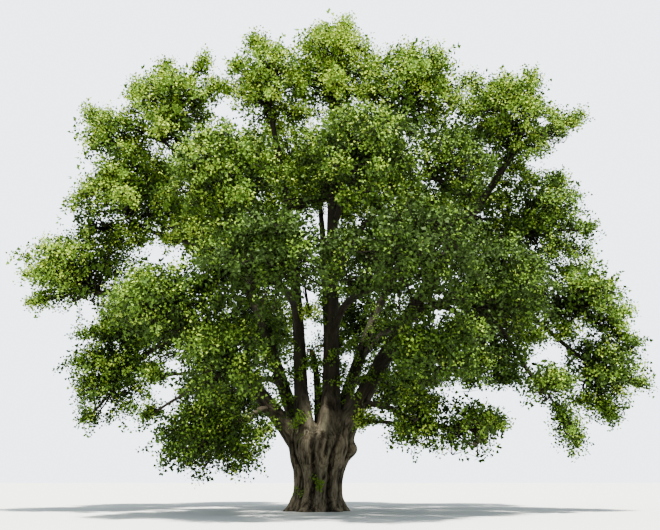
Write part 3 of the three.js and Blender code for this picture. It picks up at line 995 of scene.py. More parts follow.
    def blend_fork(self, mesh: bpy.types.Mesh) -> None:
        """Fills the crotches where the limbs leave the trunk, by evening the skin out there.

        Args:
            mesh: The skin.
        """
        count = len(mesh.vertices)
        places = vertex_places(mesh)
        ends = np.empty(len(mesh.edges) * 2, np.int32)
        mesh.edges.foreach_get("vertices", ends)
        first, second = ends.reshape(-1, 2).T
        degree = np.bincount(first, minlength=count) + np.bincount(second, minlength=count)
        height = places[:, 2]
        (low, rise), (high, fall) = self.blend_from, self.blend_to
        share = np.clip((height - low) / rise, 0, 1) * np.clip((high - height) / fall, 0, 1)
        for step in range(self.blend_times):
            weight = 0.5 * (share if step > 2 else np.ones(count))
            for axis in range(3):
                total = np.bincount(first, places[second, axis], count)
                total = total + np.bincount(second, places[first, axis], count)
                places[:, axis] += weight * (total / degree - places[:, axis])
        mesh.vertices.foreach_set("co", places.reshape(-1))
        mesh.update()

    def build_trunk(self, mains: Sequence[Limb]) -> bpy.types.Object:
        """The trunk and the feet of its main limbs, grown together in one skin.

        Args:
            mains: The limbs that rise from the fork.

        Returns:
            The finished piece.
        """
        tubes = TubeMesh(self.main_sides)
        lines = []
        for number, limb in enumerate(mains, start=1):
            points, radii, runs = self.limb_line(limb, 0.3)
            near = runs < self.skin_reach
            fade = 1 - 0.16 * np.clip((runs - self.skin_reach + 1.3) / 1.2, 0, 1)
            tubes.add(points[None, near], (radii * fade)[None, near])
            lines.append((*self.limb_line(limb, 0.1)[:2], number))
        for name, bearing in self.ribs:
            points, radii = self.rib(self.limbs[name], bearing)
            tubes.add(points[None], radii[None])
        raw = piece_of("skin", self.trunk_shell())
        edit = bmesh.new()
        edit.from_mesh(raw.data)
        edit.from_mesh(tubes.mesh("limb_feet"))
        edit.to_mesh(raw.data)
        edit.free()
        remesh = raw.modifiers.new("skin", "REMESH")
        remesh.mode = "VOXEL"
        remesh.voxel_size = self.voxel
        mesh = evaluated_mesh(raw, "trunk_and_fork")
        bpy.data.objects.remove(raw)
        self.blend_fork(mesh)
        edit = bmesh.new()
        edit.from_mesh(mesh)
        bmesh.ops.bisect_plane(edit, geom=edit.verts[:] + edit.edges[:] + edit.faces[:],
                               plane_co=(0, 0, 0), plane_no=(0, 0, 1), clear_inner=True)
        bmesh.ops.holes_fill(edit, edges=[edge for edge in edit.edges if edge.is_boundary], sides=0)
        bmesh.ops.recalc_face_normals(edit, faces=edit.faces[:])
        edit.to_mesh(mesh)
        edit.free()
        height = np.linspace(0, 4.5, 24)
        axis = np.stack((self.lean * height, np.zeros(24), height), axis=1)
        lines.append((axis, np.interp(height, *np.array(self.profile).T), 0))
        self.press_relief(mesh, Grain.of(lines), CREASES)
        piece = piece_of("trunk_and_fork", mesh)
        seat(piece, ["trunk"])
        return piece

    def build_limb(self, limb: Limb, number: int) -> bpy.types.Object:
        """One bough. A main limb grows on from the fork's skin, a side bough from its own collar.

        Args:
            limb: The bough.
            number: Its own number among the boughs.

        Returns:
            The finished piece.
        """
        main = limb.parent is None
        tube = TubeMesh(self.main_sides if main else self.side_sides)
        points, radii, runs = self.limb_line(limb, 0.2 if main else 0.15)
        if main:
            start = self.skin_reach - 2.4
            radii = radii * (0.8 + 0.2 * np.clip((runs - start) / 1.3, 0, 1))
            points, radii = points[runs > start], radii[runs > start]
        tube.add(points[None], radii[None])
        mesh = tube.mesh(f"limb_{limb.plan.name}")
        self.press_relief(mesh, Grain.of([(*self.limb_line(limb, 0.1)[:2], number)]), ())
        piece = piece_of(f"limb_{limb.plan.name}", mesh)
        seat(piece, [f"bough_{limb.plan.name}"])
        return piece

    def build(self, bark: bpy.types.Material) -> None:
        """Builds and dresses all the wood.

        Args:
            bark: Its finish.
        """
        mains = [limb for limb in self.limbs.values() if limb.parent is None]
        pieces = [self.build_trunk(mains)]
        pieces += [self.build_limb(limb, number) for number, limb in enumerate(self.limbs.values(), start=1)]
        for piece in pieces:
            finish_bark(piece.data, bark)


class SprayKind(IntEnum):
    """What a spray's leaves are like."""

    FULL = 0
    PLAIN = 1
    DEEP = 2


@dataclass(frozen=True)
class LeafSpray:
    """A short shoot with its leaves set in a spiral, growing along +Z from the origin."""

    kind: SprayKind
    leaves: int = 5
    length: float = 0.135
    width: float = 0.95
    shoot: float = 0.3
    petiole: float = 0.09
    low_tilt: float = 96.0
    high_tilt: float = 34.0
    tilt_stray: float = 13.0
    turn_stray: float = 0.3
    stray: float = 0.55
    sizes: tuple[float, float] = (0.84, 1.12)

    def outline(self) -> tuple[Array, tuple[tuple[int, ...], ...]]:
        """Draws a leaf folded along its midrib, heart-shaped or with four corners.

        Returns:
            Its corners, and the corners of its two halves.
        """
        half = self.width / 2
        if self.kind is SprayKind.FULL:
            corners = ((0.0, 0.0, 0.0), (0.82 * half, -0.1, 0.05), (half, 0.4, 0.08),
                       (0.0, 1.0, -0.14), (-half, 0.4, 0.08), (-0.82 * half, -0.1, 0.05))
            return np.array(corners) * self.length, ((0, 1, 2, 3), (0, 3, 4, 5))
        corners = ((0.0, 0.0, 0.0), (1.08 * half, 0.2, 0.09), (0.0, 1.0, -0.12), (-1.08 * half, 0.2, 0.09))
        return np.array(corners) * self.length, ((0, 1, 2), (0, 2, 3))

    def mesh(self, name: str, seed: int) -> bpy.types.Mesh:
        """One spray.

        Args:
            name: The mesh's name.
            seed: Picks how its leaves stray.

        Returns:
            The mesh.
        """
        random = np.random.default_rng(seed)
        corners, halves = self.outline()
        vertices, faces = [], []
        for index in range(self.leaves):
            share = index / (self.leaves - 1)
            tilt = self.low_tilt + (self.high_tilt - self.low_tilt) * share
            tilt = math.radians(tilt + random.normal(0, self.tilt_stray))
            angle = index * GOLDEN_ANGLE + random.normal(0, self.turn_stray)
            out = math.sin(tilt)
            way = np.array((out * math.cos(angle), out * math.sin(angle), math.cos(tilt)))
            face = unit(UP - way * way[2] + random.normal(0, self.stray, 3))
            side = unit(np.cross(way, face))
            turn = np.stack((side, way, np.cross(side, way)))
            root = UP * self.shoot * share + way * self.petiole
            size = random.uniform(*self.sizes)
            faces += [tuple(len(corners) * index + corner for corner in half) for half in halves]
            vertices.append(corners * size @ turn + root)
        mesh = bpy.data.meshes.new(name)
        mesh.from_pydata(np.concatenate(vertices).tolist(), [], faces)
        return mesh


SPRAYS: tuple[LeafSpray, ...] = (
    LeafSpray(SprayKind.FULL, length=0.145),
    LeafSpray(SprayKind.PLAIN),
    LeafSpray(SprayKind.DEEP, leaves=6, length=0.2, width=1.05, shoot=0.42),
)


class SprayNodes:
    """Geometry Nodes that set a spray on every point, give it its green and make it one mesh."""

    def __init__(self, finishes: Sequence[bpy.types.Material]) -> None:
        """Makes the tree.

        Args:
            finishes: The greens, in the order of Tone.
        """
        self.tree = bpy.data.node_groups.new("leaf_sprays", "GeometryNodeTree")
        face = self.tree.interface
        face.new_socket(name="Shoots", in_out="INPUT", socket_type="NodeSocketGeometry")
        self.sprays = face.new_socket(name="Sprays", in_out="INPUT", socket_type="NodeSocketCollection")
        self.seed = face.new_socket(name="Seed", in_out="INPUT", socket_type="NodeSocketInt")
        face.new_socket(name="Foliage", in_out="OUTPUT", socket_type="NodeSocketGeometry")
        nodes, links = self.tree.nodes, self.tree.links
        given = nodes.new("NodeGroupInput")
        kinds = nodes.new("GeometryNodeCollectionInfo")
        kinds.inputs["Separate Children"].default_value = True
        kinds.inputs["Reset Children"].default_value = True
        links.new(given.outputs["Sprays"], kinds.inputs["Collection"])
        stray = nodes.new("FunctionNodeRandomValue")
        stray.data_type = "FLOAT"
        stray.inputs[2].default_value = 0.94
        stray.inputs[3].default_value = 1.06
        links.new(given.outputs["Seed"], stray.inputs["Seed"])
        size = nodes.new("ShaderNodeMath")
        size.operation = "MULTIPLY"
        links.new(self.attribute("size", "FLOAT").outputs["Attribute"], size.inputs[0])
        links.new(stray.outputs[1], size.inputs[1])
        instance = nodes.new("GeometryNodeInstanceOnPoints")
        instance.inputs["Pick Instance"].default_value = True
        links.new(given.outputs["Shoots"], instance.inputs["Points"])
        links.new(kinds.outputs["Instances"], instance.inputs["Instance"])
        links.new(self.attribute("kind", "INT").outputs["Attribute"], instance.inputs["Instance Index"])
        links.new(self.attribute("spin", "FLOAT_VECTOR").outputs["Attribute"], instance.inputs["Rotation"])
        links.new(size.outputs["Value"], instance.inputs["Scale"])
        real = nodes.new("GeometryNodeRealizeInstances")
        links.new(instance.outputs["Instances"], real.inputs["Geometry"])
        tone = self.attribute("tone", "INT")
        result = real.outputs["Geometry"]
        for index, finish in enumerate(finishes):
            same = nodes.new("FunctionNodeCompare")
            same.data_type = "INT"
            same.operation = "EQUAL"
            links.new(tone.outputs["Attribute"], same.inputs[2])
            same.inputs[3].default_value = index
            paint = nodes.new("GeometryNodeSetMaterial")
            paint.inputs["Material"].default_value = finish
            links.new(same.outputs["Result"], paint.inputs["Selection"])
            links.new(result, paint.inputs["Geometry"])
            result = paint.outputs["Geometry"]
        links.new(result, nodes.new("NodeGroupOutput").inputs[0])

    def attribute(self, name: str, kind: str) -> bpy.types.Node:
        """Adds a node that reads one of the points' own values.

        Args:
            name: The value's name.
            kind: Its type.

        Returns:
            The node.
        """
        node = self.tree.nodes.new("GeometryNodeInputNamedAttribute")
        node.data_type = kind
        node.inputs["Name"].default_value = name
        return node

    def grow(self, shoots: bpy.types.Object, sprays: bpy.types.Collection, seed: int,
             name: str) -> bpy.types.Mesh:
        """Grows the sprays on a cloud of shoots.

        Args:
            shoots: The points, with their spin, size, kind and tone.
            sprays: The spray meshes to choose from.
            seed: Picks how their sizes stray.
            name: The new mesh's name.

        Returns:
            The leaves as one plain mesh.
        """
        modifier = shoots.modifiers.new("leaf_sprays", "NODES")
        modifier.node_group = self.tree
        modifier[self.sprays.identifier] = sprays
        modifier[self.seed.identifier] = seed
        mesh = evaluated_mesh(shoots, name)
        shoots.modifiers.remove(modifier)
        return mesh


@dataclass
class Shoots:
    """Where sprays stand, which way they grow, how large they are, their greens and their kinds."""

    roots: Array = field(default_factory=lambda: np.zeros((0, 3)))
    ways: Array = field(default_factory=lambda: np.zeros((0, 3)))
    sizes: Array = field(default_factory=lambda: np.zeros(0))
    tones: Array = field(default_factory=lambda: np.zeros(0, int))
    kinds: Array = field(default_factory=lambda: np.zeros(0, int))

    def __add__(self, other: "Shoots") -> "Shoots":
        """These shoots and some others."""
        return Shoots(*(np.concatenate((getattr(self, name), getattr(other, name)))
                        for name in ("roots", "ways", "sizes", "tones", "kinds")))

    @classmethod
    def full(cls, roots: Array, ways: Array, sizes: Array, tones: Array) -> "Shoots":
        """Shoots whose sprays are all of the full kind."""
        return cls(roots, ways, sizes, tones, np.full(len(roots), int(SprayKind.FULL)))

    def only(self, keep: Array) -> "Shoots":
        """The shoots that are kept."""
        return Shoots(self.roots[keep], self.ways[keep], self.sizes[keep], self.tones[keep], self.kinds[keep])

    def cloud(self, name: str, variants: int, random: np.random.Generator) -> bpy.types.Object:
        """The shoots as a point cloud with the values that the nodes read.

        Args:
            name: The cloud's name.
            variants: How many sprays of each kind there are to choose from.
            random: The mass's own run of random numbers.

        Returns:
            An object of loose points.
        """
        ways = unit(self.ways)
        count = len(self.roots)
        helper = np.where(np.abs(ways[:, 2:3]) < 0.95, UP, np.array((1.0, 0.0, 0.0)))
        side = unit(np.cross(helper, ways))
        spin = random.uniform(0, 2 * math.pi, count)
        first = side * np.cos(spin)[:, None] + np.cross(ways, side) * np.sin(spin)[:, None]
        second = np.cross(ways, first)
        turn_y = np.arcsin(np.clip(-first[:, 2], -1, 1))
        turn_x = np.arctan2(second[:, 2], ways[:, 2])
        turn_z = np.arctan2(first[:, 1], first[:, 0])
        mesh = bpy.data.meshes.new(name)
        mesh.from_pydata(self.roots.tolist(), [], [])
        eulers = np.stack((turn_x, turn_y, turn_z), axis=1)
        pick = self.kinds * variants + random.integers(0, variants, count)
        keep_values(mesh, (("spin", "FLOAT_VECTOR", eulers), ("size", "FLOAT", self.sizes),
                           ("kind", "INT", pick), ("tone", "INT", self.tones)))
        return piece_of(name, mesh)


def sighted(across: float, down: float, depth: float) -> Array:
    """Finds the place in the tree's frame of a spot given in the photo.

    Args:
        across: Its pixels from the photo's left side.
        down: Its pixels from the photo's top.
        depth: How far behind the trunk's middle it is taken to be, in metres.

    Returns:
        The place.
    """
    right, up = (across - SIGHT_MIDDLE[0]) / SIGHT_FOCUS, (SIGHT_MIDDLE[1] - down) / SIGHT_FOCUS
    ahead = math.cos(SIGHT_PITCH) - up * math.sin(SIGHT_PITCH)
    way = np.array((right, ahead, math.sin(SIGHT_PITCH) + up * math.cos(SIGHT_PITCH)))
    return EYE + way * (depth - EYE[1]) / ahead


@dataclass(frozen=True)
class SkyGap:
    """An opening in the crown that shows sky from the camera.

    Its middle is picked in the photo, and its half width and half height are in metres at the trunk.
    """

    across: float
    down: float
    half_width: float
    half_height: float

    def clears(self, points: Array) -> Array:
        """Finds how far each point's line of sight passes from the gap's middle.

        Args:
            points: The points.

        Returns:
            The distances, where under one is inside the gap.
        """
        middle = sighted(self.across, self.down, 0.0)
        far = EYE[1] / (EYE[1] - points[:, 1])
        across = EYE[0] + (points[:, 0] - EYE[0]) * far
        height = EYE[2] + (points[:, 2] - EYE[2]) * far
        return np.hypot((across - middle[0]) / self.half_width, (height - middle[2]) / self.half_height)


SKY_GAPS: tuple[SkyGap, ...] = (
    SkyGap(222, 113, 0.7, 0.3), SkyGap(291, 152, 0.3, 0.9), SkyGap(324, 221, 0.4, 0.8),
    SkyGap(324, 333, 0.4, 0.8), SkyGap(478, 218, 0.5, 0.4), SkyGap(498, 216, 0.3, 0.4),
    SkyGap(533, 245, 0.4, 0.4), SkyGap(185, 189, 0.5, 0.6), SkyGap(544, 121, 0.4, 0.5),
    SkyGap(572, 152, 1.4, 1.1), SkyGap(158, 262, 0.7, 0.4), SkyGap(545, 364, 1.1, 0.3),
    SkyGap(173, 376, 0.4, 1.2), SkyGap(372, 438, 0.7, 0.8), SkyGap(482, 396, 2.0, 0.3),
    SkyGap(437, 390, 0.8, 0.3), SkyGap(443, 428, 0.3, 0.3), SkyGap(474, 427, 0.3, 0.3),
    SkyGap(97, 372, 0.2, 0.5), SkyGap(104, 405, 0.5, 0.3), SkyGap(118, 345, 0.2, 0.4),
)


@dataclass
class Canopy:
    """The rounded form that all the lobes of the crown make together."""

    lobes: Sequence[Lobe]
    blend: float = 2.6
    most: float = 1.12
    ragged: float = 0.35

    def __post_init__(self) -> None:
        """Gathers the lobes' hearts and forms."""
        self.hearts = np.array([lobe.heart for lobe in self.lobes])
        self.forms = np.array([lobe.form for lobe in self.lobes])

    def fullness(self, points: Array) -> Array:
        """Finds how deep in the crown points lie.

        Args:
            points: The points.

        Returns:
            One on the crown's surface, and more inside it.
        """
        total = np.zeros(len(points))
        for heart, form in zip(self.hearts, self.forms):
            scaled = (points - heart) / form
            total += np.exp(self.blend * (1.0 - np.einsum("ij,ij->i", scaled, scaled)))
        return total

    def reach(self, own: Lobe, ways: Array) -> Array:
        """Finds how far the crown's surface lies along each way from a lobe's heart.

        Args:
            own: The lobe.
            ways: The ways.

        Returns:
            The distances, in the lobe's own form.
        """
        low, high = np.ones(len(ways)), np.full(len(ways), self.most)
        for _ in range(8):
            middle = 0.5 * (low + high)
            full = self.fullness(own.heart + ways * own.form * middle[:, None]) > 1.0
            low, high = np.where(full, middle, low), np.where(full, high, middle)
        return low

    def holds(self, points: Array, own: Lobe, spare: float) -> Array:
        """Which points lie in a lobe's own space, on its side of every neighbour.

        Args:
            points: The points to test.
            own: The lobe. A tuft has no borders but its own form.
            spare: How far inside the borders they must be.

        Returns:
            True for each point that does.
        """
        scaled = (points - own.heart) / own.radii
        keep = np.einsum("ij,ij->i", scaled, scaled) < 1.0
        if own not in self.lobes:
            return keep
        for other in self.lobes:
            if other is own:
                continue
            away = other.heart - own.heart
            apart = float(np.linalg.norm(away))
            border = (apart ** 2 + own.size - other.size) / (2 * apart)
            keep &= (points - own.heart) @ away / apart < border - spare
        return keep

    def cover(self, points: Array) -> Array:
        """How much of the crown stands between each point and the sun, from nothing to one: where the leaves'
        greens get painted shadow.
        """
        shaded = ((self.fullness(points + run * SUNWARD) > 1.0).astype(float) for run in SUN_RUNS)
        return sum(shaded) / len(SUN_RUNS)

    def open_sky(self, points: Array) -> Array:
        """Tells which points lie in a ragged gap that shows sky.

        Args:
            points: The points.

        Returns:
            True for each point that does.
        """
        edge = 1.0 + self.ragged * (2 * value_noise(points * 1.6, 21) - 1)
        inside = np.zeros(len(points), bool)
        for gap in SKY_GAPS:
            inside |= gap.clears(points) < edge
        return inside


def tones_for(light: Array) -> Array:
    """The greens of sprays that get this much painted light, where one is full sun on the top of the crown;
    less light deals a darker green as painted shade.
    """
    return np.digitize(-light, TONE_STEPS)


def spiral_ways(count: int, phase: float) -> Array:
    """Spreads ways evenly over a ball by the golden angle, from its top down.

    Args:
        count: How many.
        phase: How far the first is turned.

    Returns:
        The ways.
    """
    index = np.arange(count) + 0.5
    tilt = np.arccos(1 - 2 * index / count)
    angle = index * GOLDEN_ANGLE + phase
    return np.stack((np.sin(tilt) * np.cos(angle), np.sin(tilt) * np.sin(angle), np.cos(tilt)), axis=1)


@dataclass
class Clump:
    """A flattened pad of sprays on the end of one branchlet."""

    middle: Array
    pole: Array
    size: float
    deep: bool
    light: float = 0.0
    coarse: float = 1.0
    flat: float = 0.62
    density: float = 13.4
    rim: float = -0.22
    spread_light: float = 0.5
    full_below: float = -0.15
    tiers: int = 4
    deep_share: float = 0.42
    tier_gap: tuple[float, float] = (0.1, 0.19)
    # Sprays higher on the pad are dealt paler greens and lower ones darker: painted sun on its top, painted
    # shade beneath.
    height_light: float = 0.8
    node_depth: float = 0.12

    def node(self) -> Array:
        """The spot that the clump's twigs leave from."""
        return self.middle - self.node_depth * self.size * self.pole

    def ends(self, random: np.random.Generator) -> tuple[Array, Array, Array]:
        """Sets the ends of the pad's twigs over its upper face and its rim.

        Args:
            random: The mass's own run of random numbers.

        Returns:
            Their places, their ways, and how high each stands on the pad.
        """
        share = 0.5 * (1.0 - self.rim)
        density = self.density * (self.deep_share if self.deep else 1.0) / self.coarse ** 2
        ways = spiral_ways(max(6, int(density * self.size ** 2 / share)), random.uniform(0, 2 * math.pi))
        ways = unit(ways + random.normal(0, 0.2, ways.shape))
        height = ways @ self.pole
        ways, height = ways[height > self.rim], height[height > self.rim]
        level = ways - height[:, None] * self.pole
        lump = random.uniform(0.7, 1.04, len(ways)) * (0.9 + 0.2 * value_noise(ways * 1.7 + self.middle, 5))
        ends = self.middle + (level + height[:, None] * self.pole * self.flat) * (self.size * lump)[:, None]
        droop = 0.5 * np.clip(0.35 - height, 0, 1)
        ways = unit(0.75 * ways + 0.35 * self.pole + (0.2 - droop)[:, None] * UP)
        return ends, ways, height

    def shoots(self, ends: Array, ways: Array, height: Array, node: Array,
               random: np.random.Generator) -> Shoots:
        """Puts a spray on each twig's end and, outside the crown's depths, more of them lower on its sides.

        Args:
            ends: The twigs' ends.
            ways: Which way each twig's end grows.
            height: How high each stands on the pad.
            node: Where the twigs fork.
            random: The mass's own run of random numbers.

        Returns:
            The sprays' shoots.
        """
        count = len(ends)
        if self.deep:
            # Sprays deep inside the crown are dealt darker greens still, as painted shade.
            tones = tones_for(self.light - 0.3 + random.normal(0, 0.16, count))
            kinds = np.full(count, int(SprayKind.DEEP))
            return Shoots(ends, ways, self.coarse * random.uniform(0.9, 1.15, count), tones, kinds)
        tier = np.repeat(np.arange(self.tiers), count)
        sides = unit(np.cross(np.tile(ways, (self.tiers, 1)), random.normal(0, 1, (len(tier), 3))))
        ends = np.tile(ends, (self.tiers, 1))
        ways = np.tile(ways, (self.tiers, 1))
        height = np.tile(height, self.tiers)
        down = tier * random.uniform(*self.tier_gap, len(tier))
        roots = ends + unit(node - ends) * down[:, None]
        ways = np.where(tier[:, None] > 0, unit(0.5 * ways + 0.85 * sides), ways)
        # Painted sun and shade on the pad: lower tiers and lower sprays get darker greens.
        height = height - 0.1 * tier
        light = self.light + self.height_light * height + random.normal(0, self.spread_light, len(tier))
        kinds = np.where(height < self.full_below, int(SprayKind.FULL), int(SprayKind.PLAIN))
        sizes = self.coarse * random.uniform(0.88, 1.12, len(tier))
        return Shoots(roots, ways, sizes, tones_for(light), kinds)


@dataclass(frozen=True)
class Tuft:
    """A small tuft that stands out of a mass, at a spot picked in the photo and a guessed depth."""

    across: float
    down: float
    depth: float
    size: float = 1.0

    def lobe(self) -> Lobe:
        """Places the tuft in the tree's frame.

        Returns:
            Its rounded lobe.
        """
        heart = sighted(self.across, self.down, self.depth)
        bearing = math.degrees(math.atan2(heart[1], heart[0]))
        return Lobe(bearing, math.hypot(heart[0], heart[1]), heart[2], self.size, 0.9 * self.size)


FILLING: dict[str, tuple[Lobe, ...]] = {
    "back_left_high": (Lobe(155, 7.2, 18.6, 2.4, 2.0), Lobe(174, 7.8, 16.8, 2.3, 1.8)),
    "back_right_high": (Lobe(30, 7.4, 18.8, 2.4, 2.0), Lobe(12, 7.6, 17.4, 2.3, 1.8)),
}

TUFTS: dict[str, tuple[Tuft, ...]] = {
    "upper_left": (
        Tuft(203, 66, -3.7, 1.1), Tuft(217, 89, -3.7, 1.1), Tuft(165, 68, -3.7, 0.9),
        Tuft(164, 132, -6.5, 1.1), Tuft(138, 93, -3.0, 1.1), Tuft(92, 115, -2.5, 1.1)),
    "top": (Tuft(320, 33, -2.3), Tuft(345, 30, -4.0), Tuft(335, 83, -7.2, 1.1)),
    "top_left": (
        Tuft(257, 44, -4.5, 1.1), Tuft(237, 67, -4.5, 0.9), Tuft(300, 118, -4.5, 1.1),
        Tuft(229, 92, -4.3, 1.1), Tuft(309, 312, -2.0, 0.8)),
    "upper_right": (
        Tuft(463, 136, -2.0), Tuft(494, 166, -1.0), Tuft(531, 82, -2.8, 1.2),
        Tuft(577, 118, -1.0, 0.9), Tuft(470, 83, -3.0), Tuft(518, 170, -1.0)),
    "right_shoulder": (Tuft(556, 180, -1.0), Tuft(588, 230, -1.0, 0.9), Tuft(581, 252, -1.0)),
    "right_tip": (
        Tuft(622, 312, -1.0, 0.9), Tuft(612, 322, -1.0), Tuft(536, 337, -2.0, 1.1),
        Tuft(566, 335, -2.0, 0.9), Tuft(622, 338, -1.0, 0.9)),
    "right_hanging": (
        Tuft(631, 345, -0.8), Tuft(602, 408, -0.8), Tuft(640, 385, -0.8, 0.8),
        Tuft(584, 402, -0.8, 0.9), Tuft(609, 416, -0.8, 0.9)),
    "left_shoulder": (
        Tuft(125, 197, -6.8), Tuft(140, 244, -2.0, 1.2), Tuft(118, 246, -1.5, 0.9),
        Tuft(172, 241, -3.0, 1.1), Tuft(197, 232, -4.0, 0.9)),
    "front_left": (Tuft(222, 301, -7.0), Tuft(206, 285, -6.0, 0.8)),
    "front_left_low": (Tuft(158, 378, -5.0, 1.1), Tuft(150, 415, -4.0)),
    "front_left_high": (Tuft(243, 198, -12.3, 0.9),),
    "front_high": (
        Tuft(340, 168, -13.6, 0.9), Tuft(377, 177, -13.4, 0.9), Tuft(416, 194, -6.0, 1.1),
        Tuft(312, 198, -7.0, 0.8), Tuft(297, 208, -7.0), Tuft(350, 200, -12.8, 0.9),
        Tuft(378, 203, -12.8, 0.9), Tuft(272, 209, -9.0, 0.9)),
    "front_centre": (Tuft(360, 285, -6.0), Tuft(396, 290, -6.0)),
    "front_right_low": (Tuft(430, 290, -5.0, 1.1),),
    "right_inner": (Tuft(470, 384, -6.0, 0.9), Tuft(508, 380, -5.0)),
    "right_drooping": (Tuft(558, 412, -3.0), Tuft(574, 440, -3.0)),
    "top_back": (Tuft(366, 205, 3.0, 1.3), Tuft(344, 214, 2.5, 0.9)),
    "back_right": (Tuft(418, 304, 8.0, 1.5), Tuft(352, 292, 9.0, 1.2)),
    "back_left": (Tuft(255, 292, 8.0, 1.2), Tuft(150, 370, 4.0, 1.1)),
    "low_left": (Tuft(268, 430, -1.5, 0.9),),
    "low_right": (Tuft(368, 422, -2.0), Tuft(496, 424, -3.0)),
    "left_tip": (Tuft(38, 302, -1.0),),
    "left_hanging": (Tuft(90, 418, -0.5),),
}

# Painted sun and shade by mass: how much lighter or darker each mass's greens are dealt, painted shade mostly
# on the masses at the front, painted sun mostly on the top and the sides.
SUN_SHARE: dict[str, float] = {
    "top": 0.35, "top_left": 0.3, "top_back": 0.25, "top_right": 0.05, "upper_left": 0.15,
    "left_shoulder": 0.2, "left_tip": 0.35, "left_hanging": 0.15, "front_left_high": -0.15,
    "front_left": -0.1, "front_centre": -0.85, "front_high": -0.3, "front_right": -0.95,
    "front_left_low": -0.1, "front_right_low": -0.3, "right_inner": -0.7, "right_shoulder": -0.3,
    "right_tip": 0.05, "low_right": 0.2, "back_left_high": 0.1, "back_right_high": 0.05,
}


